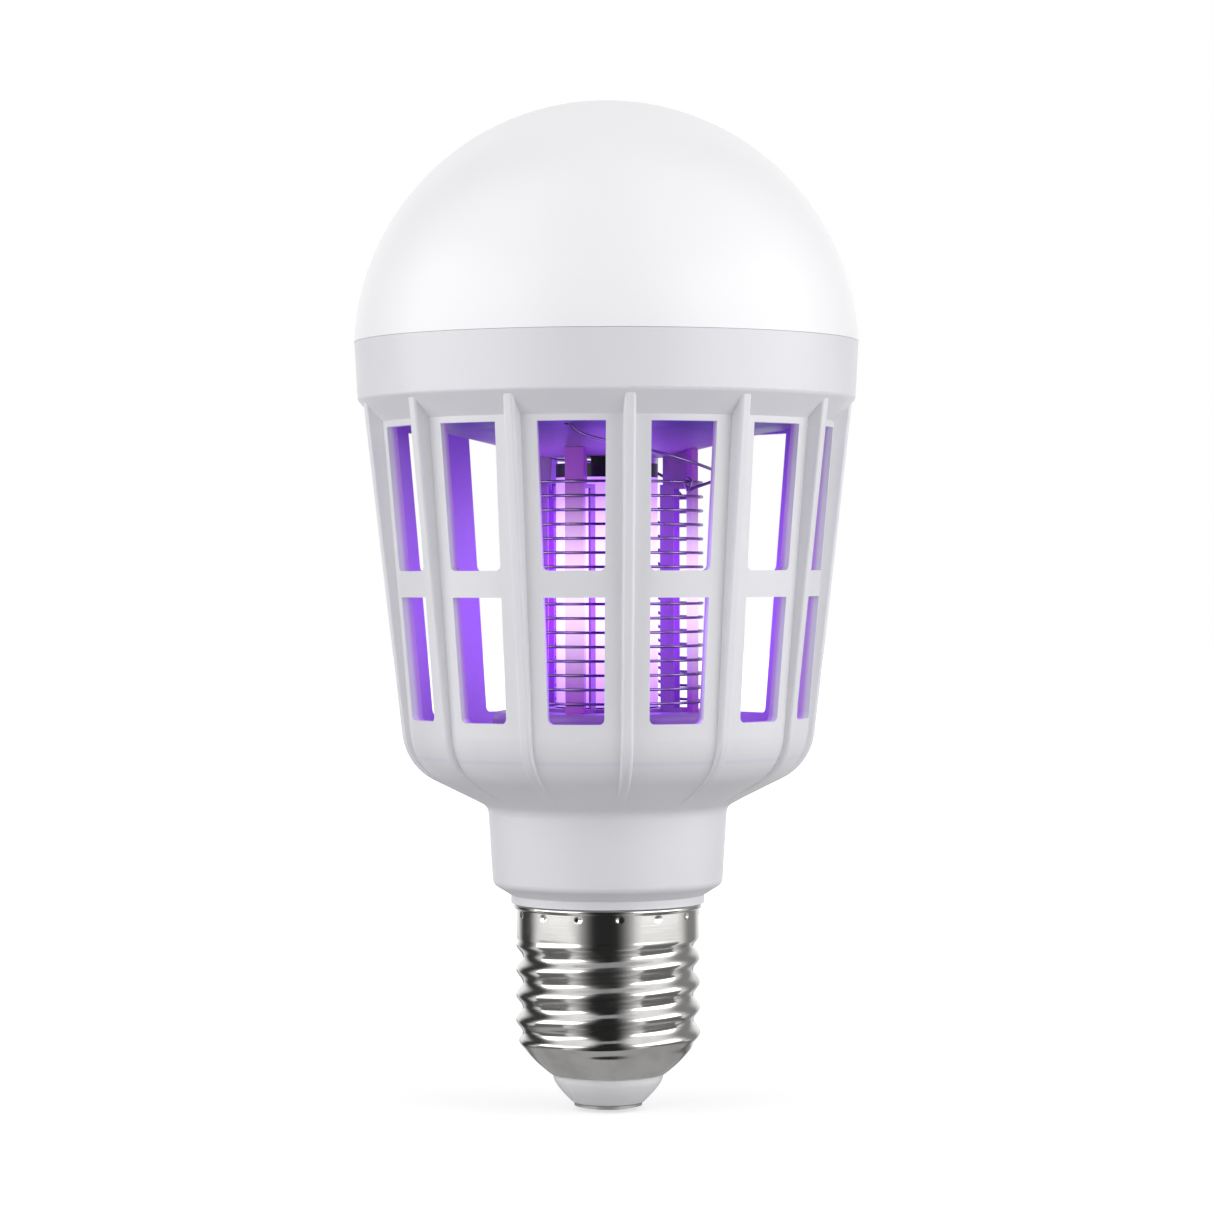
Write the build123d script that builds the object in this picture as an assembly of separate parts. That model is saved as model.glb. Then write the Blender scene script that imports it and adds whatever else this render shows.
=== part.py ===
from build123d import *
import math
import os

# The lamp stands on its foot contact, with its axis on Z and its front rib on -Y.
# Radii and heights are in millimetres, and a turn is an angle from the front rib
# towards +X, in degrees.

# General clearances and walls
SEAT_GAP = 0.05
MOULD_WALL = 1.5

# Screw shell, with the rolled thread of a 27 mm lamp cap
THREAD_PITCH = 3.629
THREAD_CREST_R = 13.24
THREAD_ROOT_R = 12.3
THREAD_HALF_BASE = 1.3
THREAD_TURNS = 4.25
THREAD_FOOT_Z = 9.9
THREAD_BURIAL = 0.14
SHELL_WALL = 0.3
SHELL_FOOT_R = 8.3
SHELL_FOOT_Z = 5.2
SHELL_BOWL_Z = 9.8
BAND_R = 13.14
BAND_FOOT_Z = 25.3
BAND_SLOPE = 0.8
RIM_BEAD_R = 0.4
RIM_BEAD_PROUD = 0.46
RIM_TOP_Z = 29.8
CRIMP_COUNT = 13
CRIMP_TOOL_R = 0.9
CRIMP_DEPTH = 0.2
CRIMP_BELOW_RIM = 1.7

# Foot of the cap
INSULATOR_TIP_R = 5.2
INSULATOR_TIP_Z = 0.95
INSULATOR_SHOULDER_Z = 4.6
INSULATOR_TOP_Z = 7.2
CONTACT_R = 4.9
CONTACT_EDGE = 0.35
CONTACT_STEM_R = 1.5
CONTACT_STEM_TOP_Z = 7.8

# Cage housing, outside
RIB_COUNT = 13
SEAM_Z = 110.4
COLLAR_TOP_R = 36.3
COLLAR_FOOT_R = 35.85
COLLAR_FOOT_Z = 102.2
COLLAR_EDGE_ROUND = 0.7
PANEL_TOP_R = 32.75
PANEL_TOP_Z = 98.9
PANEL_FOOT_R = 28.5
PANEL_FOOT_Z = 49.8
BOWL_ROUND = 8.5
NECK_TOP_R = 17.25
NECK_TOP_Z = 43.7
NECK_TOP_ROUND = 1.6
NECK_FOOT_R = 16.55
NECK_FOOT_Z = 32.6
NECK_FOOT_ROUND = 1.2
LIP_R = 13.95
LIP_TOP_Z = 31.0
SPIGOT_BORE_R = 11.3
SPIGOT_LENGTH = 4.2

# Cage housing, inside
NECK_WALL = 1.75
NECK_FLOOR_Z = 31.8
NECK_CAVITY_Z = 33.6
BASE_SEAT_Z = 46.6
BASE_SEAT_R = 17.6
BOWL_WALL = 1.8
BOWL_INNER_ROUND = 7.0
DECK_LEDGE_Z = 100.6
DECK_LEDGE_WIDTH = 1.1
COLLAR_BORE_R = 34.3
COLLAR_BORE_Z = 102.7

# Ribs of the cage
RIB_WIDTH = 1.6
RIB_EDGE_ROUND = 0.45
RIB_TOP_R = 35.4
RIB_TOP_Z = 102.3
RIB_FOOT_R = 29.35
RIB_FOOT_Z = 49.75
RIB_END_R = 18.6
RIB_ROOT_DEPTH = 0.75

# Windows of the cage, in two rows with a bar of even width between neighbours
WINDOW_BAR = 6.1
WINDOW_ROWS = ((77.6, 98.0), (56.5, 73.9))
WINDOW_CORNER = 0.8

# Dome
DOME_R = 36.4
DOME_CENTRE_Z = 108.8
DOME_WALL = 1.6
DOME_SPIGOT_WALL = 1.4
DOME_SPIGOT_DEPTH = 3.0
DOME_SHOULDER = 1.6

# Ceiling deck and the lighting board above it
DECK_HUB_Z = 94.0
DECK_HUB_R = 9.0
DECK_KNEE_R = 23.0
DECK_KNEE_Z = 97.5
DECK_EDGE_Z = 98.8
DECK_PLATE = 1.8
DECK_FLANGE = 1.8
BOARD_SEAT_Z = 105.0
BOARD_RING_R = 30.6
BOARD_RING_WALL = 1.6
BOARD_R = 31.4
BOARD_THICKNESS = 1.6
BOARD_SCREW_COUNT = 3
BOARD_SCREW_CIRCLE = 25.0
BOARD_SCREW_TURN = 60.0
BOSS_R = 2.6
SCREW_R = 1.4
SCREW_LENGTH = 6.0
SCREW_HEAD_R = 2.6
SCREW_HEAD_HEIGHT = 1.6
CHIP_LENGTH = 3.5
CHIP_WIDTH = 2.8
CHIP_HEIGHT = 0.8
CHIP_RINGS = ((6, 9.0), (12, 17.5))

# Grid, wound as two wires of one pitch, half a pitch apart
PEDESTAL_R = 16.5
PEDESTAL_TOP_Z = 57.4
PEDESTAL_PLATE = 2.0
PEDESTAL_ROUND = 1.0
PEDESTAL_SPIGOT = 2.4
FIN_COUNT = 4
FIN_TURN = -25.3
FIN_WIDTH = 2.9
FIN_INNER_R = 7.8
FIN_OUTER_R = 13.4
FIN_RING_R = 8.9
FIN_FOOT_RING = 1.2
FIN_HEAD_RING = 1.6
FIN_SLOT_INNER_R = 12.1
FIN_SLOT_OUTER_R = 12.8
FIN_SLOT_MARGIN = 3.0
WIRE_R = 0.25
GRID_PITCH = 4.0
GRID_TURNS = 8
GRID_FOOT_Z = 58.4

# Ultraviolet tube and the sleeve through it
TUBE_R = 7.35
TUBE_WALL = 0.85
TUBE_FOOT_CAP = 0.7
TUBE_HEAD_CAP = 2.0
TUBE_LENGTH = 32.9
TUBE_PLUG = 2.0
SLEEVE_R = 2.3
SLEEVE_WALL = 0.6
SLEEVE_FOOT_Z = 52.0
UV_BOARD_WIDTH = 9.6
UV_BOARD_THICKNESS = 1.0
UV_CHIP_COUNT = 5
UV_CHIP_SIDE = 2.8
UV_CHIP_HEIGHT = 0.6

# High-voltage board on the deck
HV_BOARD_LENGTH = 22.0
HV_BOARD_WIDTH = 11.0
HV_BOARD_THICKNESS = 1.6
HV_BOARD_CENTRE = 15.5
HV_BOARD_Z = 100.4
HV_POST_R = 1.6
HV_POST_SPREAD = 8.0
HV_CAPACITOR_R = 3.6
HV_CAPACITOR_HEIGHT = 2.4
HV_CAPACITOR_SPREAD = 5.5
HV_DIODE_R = 0.9
HV_DIODE_LENGTH = 3.6
HV_DIODE_SPREAD = 5.2

# Lead wires, as points of turn, radius and height
LEAD_HOLE_R = 0.6
LEAD_A_HOLE = (-17.5, 25.0)
LEAD_B_HOLE = (146.0, 15.5)
LEAD_BEND = 1.6
LEAD_TIGHT_BEND = 0.9

# Supply board in the neck
SUPPLY_BOARD_WIDTH = 22.2
SUPPLY_BOARD_THICKNESS = 1.6
SUPPLY_BOARD_FOOT_Z = 14.0
SUPPLY_BOARD_TOP_Z = 43.0
BULK_CAPACITOR_R = 4.9
BULK_CAPACITOR_FOOT_Z = 18.0
BULK_CAPACITOR_HEIGHT = 16.0
BULK_CAPACITOR_GROOVE = 0.4
CHOKE_R = 4.0
CHOKE_WAIST_R = 2.6
CHOKE_FLANGE = 1.4
CHOKE_FOOT_Z = 35.2
CHOKE_HEIGHT = 7.4
BRIDGE_SIZE = (8.0, 3.2, 7.0)
BRIDGE_FOOT_Z = 17.5
RESISTOR_R = 1.2
RESISTOR_LENGTH = 6.4
RESISTOR_HEIGHTS = (29.0, 33.5, 38.0)
SUPPLY_WIRE_R = 0.6
SUPPLY_WIRE_OFFSET = 7.0
SUPPLY_WIRE_Z = 16.5
SUPPLY_WIRE_BEND = 1.5

# Sizes that follow from the ones above
RIM_SEAT_Z = RIM_TOP_Z + SEAT_GAP
SPIGOT_R = BAND_R - SHELL_WALL - SEAT_GAP
PANEL_SLOPE = (PANEL_TOP_R - PANEL_FOOT_R) / (PANEL_TOP_Z - PANEL_FOOT_Z)
FLOOR_SLOPE = (PANEL_FOOT_Z - NECK_TOP_Z) / (PANEL_FOOT_R - NECK_TOP_R)
FLOOR_LIFT = BOWL_WALL * math.hypot(1, FLOOR_SLOPE)
DECK_INNER_R = PANEL_TOP_R - MOULD_WALL
TUBE_FOOT_Z = PEDESTAL_TOP_Z + TUBE_FOOT_CAP
TUBE_TOP_Z = TUBE_FOOT_Z + TUBE_LENGTH
BOARD_TOP_Z = BOARD_SEAT_Z + BOARD_THICKNESS
WIRE_COIL_R = FIN_OUTER_R + WIRE_R + SEAT_GAP
GRID_TOP_Z = GRID_FOOT_Z + GRID_PITCH * GRID_TURNS
RIB_STEP = 360 / RIB_COUNT


def panel_radius(height):
    """Outer radius of the cage wall at a height between bowl and collar."""
    return PANEL_TOP_R - (PANEL_TOP_Z - height) * PANEL_SLOPE


def floor_height(radius):
    """Height of the bowl's outer floor line at a radius."""
    return NECK_TOP_Z + (radius - NECK_TOP_R) * FLOOR_SLOPE


def deck_height(radius):
    """Height of the ceiling's underside at a radius."""
    if radius < DECK_HUB_R:
        return DECK_HUB_Z
    if radius < DECK_KNEE_R:
        share = (radius - DECK_HUB_R) / (DECK_KNEE_R - DECK_HUB_R)
        return DECK_HUB_Z + share * (DECK_KNEE_Z - DECK_HUB_Z)
    share = (radius - DECK_KNEE_R) / (DECK_INNER_R - DECK_KNEE_R)
    return DECK_KNEE_Z + share * (DECK_EDGE_Z - DECK_KNEE_Z)


def at(turn, radius, height):
    """Point at a turn from the front rib, a radius and a height."""
    angle = math.radians(turn - 90)
    return Vector(radius * math.cos(angle), radius * math.sin(angle), height)


def turned(points, rounds=()):
    """Solid turned about Z from corners (radius, height), some of them rounded."""
    section = make_face(Polyline(*points, close=True))
    for corner, radius in rounds:
        spot = Vector(*points[corner])
        vertex = min(section.vertices(), key=lambda v: (Vector(v) - spot).length)
        section = fillet(vertex, radius)
    return revolve(Plane.XZ * section, Axis.Z)


def post(radius, foot, top):
    """Round post on the Z axis between two heights."""
    return Pos(0, 0, foot) * extrude(Circle(radius), top - foot)


def wire(points, radius, bends):
    """Round wire along straight runs joined by arcs, one bend radius a corner."""
    path = FilletPolyline(*points, radius=bends)
    section = Plane(origin=path @ 0, z_dir=path % 0) * Circle(radius)
    return sweep(section, path=path)


def thread_ridge():
    """Rounded ridge of the thread, with a lower end that sinks into the shell."""
    foot = THREAD_ROOT_R - THREAD_BURIAL
    lower = (foot, -THREAD_HALF_BASE)
    crest = (THREAD_CREST_R, 0)
    upper = (foot, THREAD_HALF_BASE)
    section = make_face([ThreePointArc(lower, crest, upper), Line(upper, lower)])
    helix = Helix(THREAD_PITCH, THREAD_PITCH * THREAD_TURNS, THREAD_ROOT_R)
    ridge = sweep(Plane.XZ * section, path=helix, is_frenet=True)
    return Pos(0, 0, THREAD_FOOT_Z) * ridge


def screw_shell():
    """Thin shell with rounded foot, thread, plain band, rolled rim and crimps."""
    root_top = BAND_FOOT_Z - BAND_SLOPE
    rim_r = BAND_R + RIM_BEAD_PROUD
    bead_z = RIM_TOP_Z - RIM_BEAD_R
    bend = (THREAD_ROOT_R - 1.15, SHELL_FOOT_Z + 1.35)

    def outline(inset):
        return [
            ThreePointArc(
                (SHELL_FOOT_R, SHELL_FOOT_Z + inset),
                (bend[0] - inset, bend[1] + inset),
                (THREAD_ROOT_R - inset, SHELL_BOWL_Z),
            ),
            Polyline(
                (THREAD_ROOT_R - inset, SHELL_BOWL_Z),
                (THREAD_ROOT_R - inset, root_top),
                (BAND_R - inset, BAND_FOOT_Z),
                (BAND_R - inset, bead_z),
            ),
        ]

    wall = outline(0) + outline(SHELL_WALL)
    ends = [
        Line((SHELL_FOOT_R, SHELL_FOOT_Z), (SHELL_FOOT_R, SHELL_FOOT_Z + SHELL_WALL)),
        Line((BAND_R, bead_z), (BAND_R - SHELL_WALL, bead_z)),
    ]
    shell = revolve(Plane.XZ * make_face(wall + ends), Axis.Z)
    bead = Pos(rim_r - RIM_BEAD_R, bead_z) * Circle(RIM_BEAD_R)
    shell += revolve(Plane.XZ * bead, Axis.Z)
    shell += thread_ridge()
    tool_r = BAND_R + CRIMP_TOOL_R - CRIMP_DEPTH
    for index in range(CRIMP_COUNT):
        spot = at(index * 360 / CRIMP_COUNT, tool_r, RIM_TOP_Z - CRIMP_BELOW_RIM)
        shell -= Pos(spot) * Sphere(CRIMP_TOOL_R)
    return shell


def cap_insulator():
    """White ring that closes the shell's foot and holds the centre contact."""
    body_r = SHELL_FOOT_R - SHELL_WALL
    bore = CONTACT_STEM_R + SEAT_GAP
    return turned(
        [
            (bore, INSULATOR_TIP_Z),
            (INSULATOR_TIP_R, INSULATOR_TIP_Z),
            (body_r, INSULATOR_SHOULDER_Z),
            (body_r, INSULATOR_TOP_Z),
            (bore, INSULATOR_TOP_Z),
        ],
        [(1, 0.3), (2, 0.5)],
    )


def centre_contact():
    """Domed foot disc on its stem."""
    edge_z = INSULATOR_TIP_Z - CONTACT_EDGE
    disc = make_face(
        [
            ThreePointArc((-CONTACT_R, edge_z), (0, 0), (CONTACT_R, edge_z)),
            Polyline(
                (CONTACT_R, edge_z),
                (CONTACT_R, INSULATOR_TIP_Z),
                (-CONTACT_R, INSULATOR_TIP_Z),
                (-CONTACT_R, edge_z),
            ),
        ]
    )
    half = disc & (Pos(CONTACT_R, 0) * Rectangle(2 * CONTACT_R, 4))
    contact = revolve(Plane.XZ * half, Axis.Z)
    return contact + post(CONTACT_STEM_R, INSULATOR_TIP_Z, CONTACT_STEM_TOP_Z)


def housing_wall():
    """Turned wall of the cage, from the collar's rim down to the cap's spigot."""
    spigot_foot = RIM_SEAT_Z - SPIGOT_LENGTH
    seat_foot = floor_height(BASE_SEAT_R) + FLOOR_LIFT
    inner_foot_r = PANEL_FOOT_R - MOULD_WALL
    outside = [
        (COLLAR_TOP_R, SEAM_Z),
        (COLLAR_FOOT_R, COLLAR_FOOT_Z),
        (PANEL_TOP_R, PANEL_TOP_Z),
        (PANEL_FOOT_R, PANEL_FOOT_Z),
        (NECK_TOP_R, NECK_TOP_Z),
        (NECK_FOOT_R, NECK_FOOT_Z),
        (LIP_R, LIP_TOP_Z),
        (LIP_R, RIM_SEAT_Z),
        (SPIGOT_R, RIM_SEAT_Z),
        (SPIGOT_R, spigot_foot),
    ]
    inside = [
        (SPIGOT_BORE_R, spigot_foot),
        (SPIGOT_BORE_R, NECK_FLOOR_Z),
        (NECK_FOOT_R - NECK_WALL, NECK_CAVITY_Z),
        (NECK_TOP_R - NECK_WALL, NECK_TOP_Z),
        (NECK_TOP_R - NECK_WALL, BASE_SEAT_Z),
        (BASE_SEAT_R, BASE_SEAT_Z),
        (BASE_SEAT_R, seat_foot),
        (inner_foot_r, floor_height(inner_foot_r) + FLOOR_LIFT),
        (DECK_INNER_R, PANEL_TOP_Z),
        (DECK_INNER_R, DECK_LEDGE_Z),
        (DECK_INNER_R + DECK_LEDGE_WIDTH, DECK_LEDGE_Z),
        (COLLAR_BORE_R, COLLAR_BORE_Z),
        (COLLAR_BORE_R, SEAM_Z),
    ]
    rounds = [
        (1, COLLAR_EDGE_ROUND),
        (3, BOWL_ROUND),
        (4, NECK_TOP_ROUND),
        (5, NECK_FOOT_ROUND),
        (len(outside) + 7, BOWL_INNER_ROUND),
    ]
    return turned(outside + inside, rounds)


def rib():
    """One rib: straight down the cage, round the bowl and out to nothing."""
    depth = RIB_ROOT_DEPTH
    tip = [
        (RIB_TOP_R, RIB_TOP_Z),
        (RIB_FOOT_R, RIB_FOOT_Z),
        (RIB_END_R, floor_height(RIB_END_R)),
    ]
    root = [
        (RIB_END_R, floor_height(RIB_END_R) + depth),
        (PANEL_FOOT_R - depth, PANEL_FOOT_Z + depth),
        (PANEL_TOP_R - depth, PANEL_TOP_Z),
        (RIB_TOP_R - depth, RIB_TOP_Z),
    ]
    section = make_face(Polyline(*tip, *root, close=True))
    for spot, radius in ((tip[1], BOWL_ROUND), (root[1], BOWL_INNER_ROUND)):
        corner = Vector(*spot)
        vertex = min(section.vertices(), key=lambda v: (Vector(v) - corner).length)
        section = fillet(vertex, radius)
    body = extrude(Plane.XZ * section, RIB_WIDTH / 2, both=True)
    edges = [e for e in body.edges() if is_tip_edge(e)]
    body = fillet(edges, RIB_EDGE_ROUND)
    return Rot(Z=-90) * body


def is_tip_edge(edge):
    """Whether an edge of a rib runs along its outer line, on either side of it."""
    middle = edge @ 0.5
    if abs(abs(middle.Y) - RIB_WIDTH / 2) > 0.01 or abs((edge % 0.5).Y) > 0.5:
        return False
    if middle.Z > RIB_FOOT_Z + BOWL_ROUND:
        share = (middle.Z - RIB_FOOT_Z) / (RIB_TOP_Z - RIB_FOOT_Z)
        return middle.X > RIB_FOOT_R + share * (RIB_TOP_R - RIB_FOOT_R) - 0.1
    return middle.X - PANEL_FOOT_R > 0.7 * (middle.Z - PANEL_FOOT_Z) - 1.2


def window(foot, top):
    """Cutter of one window, whose sides keep the bars beside it at even width."""
    half = []
    for height in (foot, top):
        chord = 2 * panel_radius(height) * math.sin(math.pi / RIB_COUNT)
        half.append((chord - WINDOW_BAR) / 2)
    section = make_face(
        Polyline(
            (-half[0], foot), (half[0], foot), (half[1], top), (-half[1], top), close=True
        )
    )
    section = fillet(section.vertices().sort_by(Axis.Y)[:2], WINDOW_CORNER)
    reach = COLLAR_TOP_R - PEDESTAL_R
    return Pos(0, -PEDESTAL_R, 0) * extrude(Plane.XZ * section, reach)


def cage_housing():
    """Moulded body in one piece: wall, ribs and both rows of windows."""
    body = housing_wall()
    fin = rib()
    body += [Rot(Z=index * RIB_STEP) * fin for index in range(RIB_COUNT)]
    for foot, top in WINDOW_ROWS:
        hole = window(foot, top)
        body -= [Rot(Z=(index + 0.5) * RIB_STEP) * hole for index in range(RIB_COUNT)]
    return body


def diffuser_dome():
    """Frosted dome with the spigot that sits in the collar."""
    foot = SEAM_Z + SEAT_GAP
    rise = foot - DOME_CENTRE_Z
    inner_r = DOME_R - DOME_WALL
    outer_foot = (math.sqrt(DOME_R**2 - rise**2), foot)
    shoulder_z = foot + DOME_SHOULDER
    inner_foot = (math.sqrt(inner_r**2 - (shoulder_z - DOME_CENTRE_Z) ** 2), shoulder_z)
    spigot_r = COLLAR_BORE_R - SEAT_GAP
    middle = math.radians(45)
    outer = ThreePointArc(
        outer_foot,
        (DOME_R * math.cos(middle), DOME_CENTRE_Z + DOME_R * math.sin(middle)),
        (0, DOME_CENTRE_Z + DOME_R),
    )
    inner = ThreePointArc(
        (0, DOME_CENTRE_Z + inner_r),
        (inner_r * math.cos(middle), DOME_CENTRE_Z + inner_r * math.sin(middle)),
        inner_foot,
    )
    rest = Polyline(
        inner_foot,
        (spigot_r - DOME_SPIGOT_WALL, foot),
        (spigot_r - DOME_SPIGOT_WALL, foot - DOME_SPIGOT_DEPTH),
        (spigot_r, foot - DOME_SPIGOT_DEPTH),
        (spigot_r, foot),
        outer_foot,
    )
    crown = Line((0, DOME_CENTRE_Z + DOME_R), (0, DOME_CENTRE_Z + inner_r))
    return revolve(Plane.XZ * make_face([outer, crown, inner, rest]), Axis.Z)


def screw_places(height):
    """Places of the board's screws, at a height."""
    step = 360 / BOARD_SCREW_COUNT
    return [
        Pos(at(BOARD_SCREW_TURN + index * step, BOARD_SCREW_CIRCLE, height))
        for index in range(BOARD_SCREW_COUNT)
    ]


def upper_deck():
    """Dished ceiling plate, with the ring and bosses that carry the boards."""
    bore = SLEEVE_R + SEAT_GAP
    rim_r = DECK_INNER_R - SEAT_GAP
    flange_r = rim_r + DECK_LEDGE_WIDTH - SEAT_GAP
    ring_inner = BOARD_RING_R - BOARD_RING_WALL
    flange_top = DECK_LEDGE_Z + DECK_FLANGE
    deck = turned(
        [
            (bore, DECK_HUB_Z),
            (DECK_HUB_R, DECK_HUB_Z),
            (DECK_KNEE_R, DECK_KNEE_Z),
            (rim_r, DECK_EDGE_Z),
            (rim_r, DECK_LEDGE_Z),
            (flange_r, DECK_LEDGE_Z),
            (flange_r, flange_top),
            (BOARD_RING_R, flange_top),
            (BOARD_RING_R, BOARD_SEAT_Z),
            (ring_inner, BOARD_SEAT_Z),
            (ring_inner, deck_height(ring_inner) + DECK_PLATE),
            (DECK_KNEE_R, DECK_KNEE_Z + DECK_PLATE),
            (DECK_HUB_R, DECK_HUB_Z + DECK_PLATE),
            (bore, DECK_HUB_Z + DECK_PLATE),
        ]
    )
    boss_foot = deck_height(BOARD_SCREW_CIRCLE) + DECK_PLATE / 2
    deck += [place * post(BOSS_R, 0, BOARD_SEAT_Z - boss_foot) for place in screw_places(boss_foot)]
    pilot = post(SCREW_R + SEAT_GAP, -SCREW_LENGTH, 1)
    deck -= [place * pilot for place in screw_places(BOARD_SEAT_Z)]
    post_foot = deck_height(HV_BOARD_CENTRE) + DECK_PLATE / 2
    for side in (-1, 1):
        spot = Pos(side * HV_POST_SPREAD, -HV_BOARD_CENTRE, post_foot)
        deck += spot * post(HV_POST_R, 0, HV_BOARD_Z - post_foot)
    for turn, radius in (LEAD_A_HOLE, LEAD_B_HOLE):
        deck -= Pos(at(turn, radius, DECK_HUB_Z - 1)) * post(LEAD_HOLE_R, 0, DECK_LEDGE_Z)
    return deck


def led_board():
    """Round aluminium board, bored for its screws and the sleeve."""
    board = post(BOARD_R, BOARD_SEAT_Z, BOARD_TOP_Z)
    board -= post(SLEEVE_R + SEAT_GAP, BOARD_SEAT_Z - 1, BOARD_TOP_Z + 1)
    hole = post(SCREW_R + SEAT_GAP, -1, BOARD_THICKNESS + 1)
    return board - [place * hole for place in screw_places(BOARD_SEAT_Z)]


def led_chips():
    """White diodes in two rings on the board."""
    chip = Pos(0, 0, BOARD_TOP_Z + CHIP_HEIGHT / 2) * Box(CHIP_LENGTH, CHIP_WIDTH, CHIP_HEIGHT)
    return [
        Rot(Z=index * 360 / count) * (Pos(0, -radius, 0) * chip)
        for count, radius in CHIP_RINGS
        for index in range(count)
    ]


def led_board_screws():
    """Pan head screws of the board, with a cross recess left plain."""
    head = turned(
        [
            (0, 0),
            (SCREW_HEAD_R, 0),
            (SCREW_HEAD_R, SCREW_HEAD_HEIGHT),
            (0, SCREW_HEAD_HEIGHT),
        ],
        [(2, SCREW_HEAD_HEIGHT / 2)],
    )
    shank = post(SCREW_R, SEAT_GAP - SCREW_LENGTH - BOARD_THICKNESS, 0)
    return [place * (head + shank) for place in screw_places(BOARD_TOP_Z)]


def grid_base():
    """Round pedestal that closes the neck, with its own spigot in the neck."""
    spigot_r = NECK_TOP_R - NECK_WALL - SEAT_GAP
    return turned(
        [
            (SLEEVE_R + SEAT_GAP, PEDESTAL_TOP_Z),
            (PEDESTAL_R, PEDESTAL_TOP_Z),
            (PEDESTAL_R, BASE_SEAT_Z),
            (spigot_r, BASE_SEAT_Z),
            (spigot_r, BASE_SEAT_Z - PEDESTAL_SPIGOT),
            (spigot_r - MOULD_WALL, BASE_SEAT_Z - PEDESTAL_SPIGOT),
            (PEDESTAL_R - MOULD_WALL, PEDESTAL_TOP_Z - PEDESTAL_PLATE),
            (SLEEVE_R + SEAT_GAP, PEDESTAL_TOP_Z - PEDESTAL_PLATE),
        ],
        [(1, PEDESTAL_ROUND)],
    )


def grid_frame():
    """Spider of upright fins on two rings, each fin with a long slot."""
    top = DECK_HUB_Z - SEAT_GAP
    head_foot = TUBE_TOP_Z + SEAT_GAP
    frame = turned(
        [
            (FIN_INNER_R, PEDESTAL_TOP_Z),
            (FIN_RING_R, PEDESTAL_TOP_Z),
            (FIN_RING_R, PEDESTAL_TOP_Z + FIN_FOOT_RING),
            (FIN_INNER_R, PEDESTAL_TOP_Z + FIN_FOOT_RING),
        ]
    )
    frame += turned(
        [
            (FIN_INNER_R, head_foot),
            (FIN_RING_R, head_foot),
            (FIN_RING_R, head_foot + FIN_HEAD_RING),
            (FIN_INNER_R, head_foot + FIN_HEAD_RING),
        ]
    )
    side = make_face(
        Polyline(
            (FIN_INNER_R, PEDESTAL_TOP_Z),
            (FIN_OUTER_R + 1, PEDESTAL_TOP_Z),
            (FIN_OUTER_R + 1, deck_height(FIN_OUTER_R + 1) - SEAT_GAP),
            (DECK_HUB_R, top),
            (FIN_INNER_R, top),
            close=True,
        )
    )
    fin = extrude(Plane.XZ * side, FIN_WIDTH / 2, both=True)
    ring = turned(
        [
            (FIN_INNER_R, PEDESTAL_TOP_Z),
            (FIN_OUTER_R, PEDESTAL_TOP_Z),
            (FIN_OUTER_R, DECK_KNEE_Z),
            (FIN_INNER_R, DECK_KNEE_Z),
        ]
    )
    fin &= ring
    slot_height = TUBE_LENGTH - 2 * FIN_SLOT_MARGIN
    slot_width = FIN_SLOT_OUTER_R - FIN_SLOT_INNER_R
    slot_centre = Pos(
        (FIN_SLOT_INNER_R + FIN_SLOT_OUTER_R) / 2, 0, TUBE_FOOT_Z + TUBE_LENGTH / 2
    )
    fin -= slot_centre * Box(slot_width, 2 * FIN_WIDTH, slot_height)
    step = 360 / FIN_COUNT
    frame += [Rot(Z=FIN_TURN - 90 + index * step) * fin for index in range(FIN_COUNT)]
    return frame


def grid_wire(start):
    """One wire of the grid, wound from the given share of a turn past a fin."""
    helix = Helix(GRID_PITCH, GRID_PITCH * GRID_TURNS, WIRE_COIL_R)
    section = Plane(origin=helix @ 0, z_dir=helix % 0) * Circle(WIRE_R)
    coil = sweep(section, path=helix, is_frenet=True)
    return Pos(0, 0, GRID_FOOT_Z) * (Rot(Z=FIN_TURN - 90 + start) * coil)


def lead_wire_a():
    """Lead from the front of the ceiling round to the first wire's upper end."""
    turn, radius = LEAD_A_HOLE
    edge = HV_BOARD_CENTRE + HV_BOARD_WIDTH / 2 + SEAT_GAP
    board_z = HV_BOARD_Z + HV_BOARD_THICKNESS / 2
    board_end = at(turn, edge / math.cos(math.radians(turn)), board_z)
    points = [
        board_end,
        at(turn, radius, board_z),
        at(turn, radius, DECK_EDGE_Z - 1.6),
        at(-4, 20.6, 95.4),
        at(14, 20.0, 93.9),
        at(46, 19.2, 91.6),
        at(57, 17.6, 90.6),
        at(FIN_TURN + 90, WIRE_COIL_R + 2 * WIRE_R + SEAT_GAP, GRID_TOP_Z - 0.4),
    ]
    bends = [LEAD_TIGHT_BEND, LEAD_BEND, LEAD_BEND, LEAD_BEND, LEAD_TIGHT_BEND, LEAD_TIGHT_BEND]
    return wire(points, WIRE_R, bends)


def lead_wire_b():
    """Lead behind the tube, from the ceiling to the second wire's upper end."""
    turn, radius = LEAD_B_HOLE
    points = [
        at(turn, radius, DECK_LEDGE_Z - 1.5),
        at(turn, radius, 93.9),
        at(turn + 24, 13.9, 93.4),
        at(turn + 60, 14.4, 93.3),
        at(FIN_TURN + 270, WIRE_COIL_R + 2 * WIRE_R + SEAT_GAP, GRID_TOP_Z + 0.9),
    ]
    return wire(points, WIRE_R, [LEAD_TIGHT_BEND, LEAD_BEND, LEAD_TIGHT_BEND])


def uv_tube():
    """Clear sleeve round the ultraviolet boards."""
    return post(TUBE_R, TUBE_FOOT_Z, TUBE_TOP_Z) - post(
        TUBE_R - TUBE_WALL, TUBE_FOOT_Z - 1, TUBE_TOP_Z + 1
    )


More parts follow.
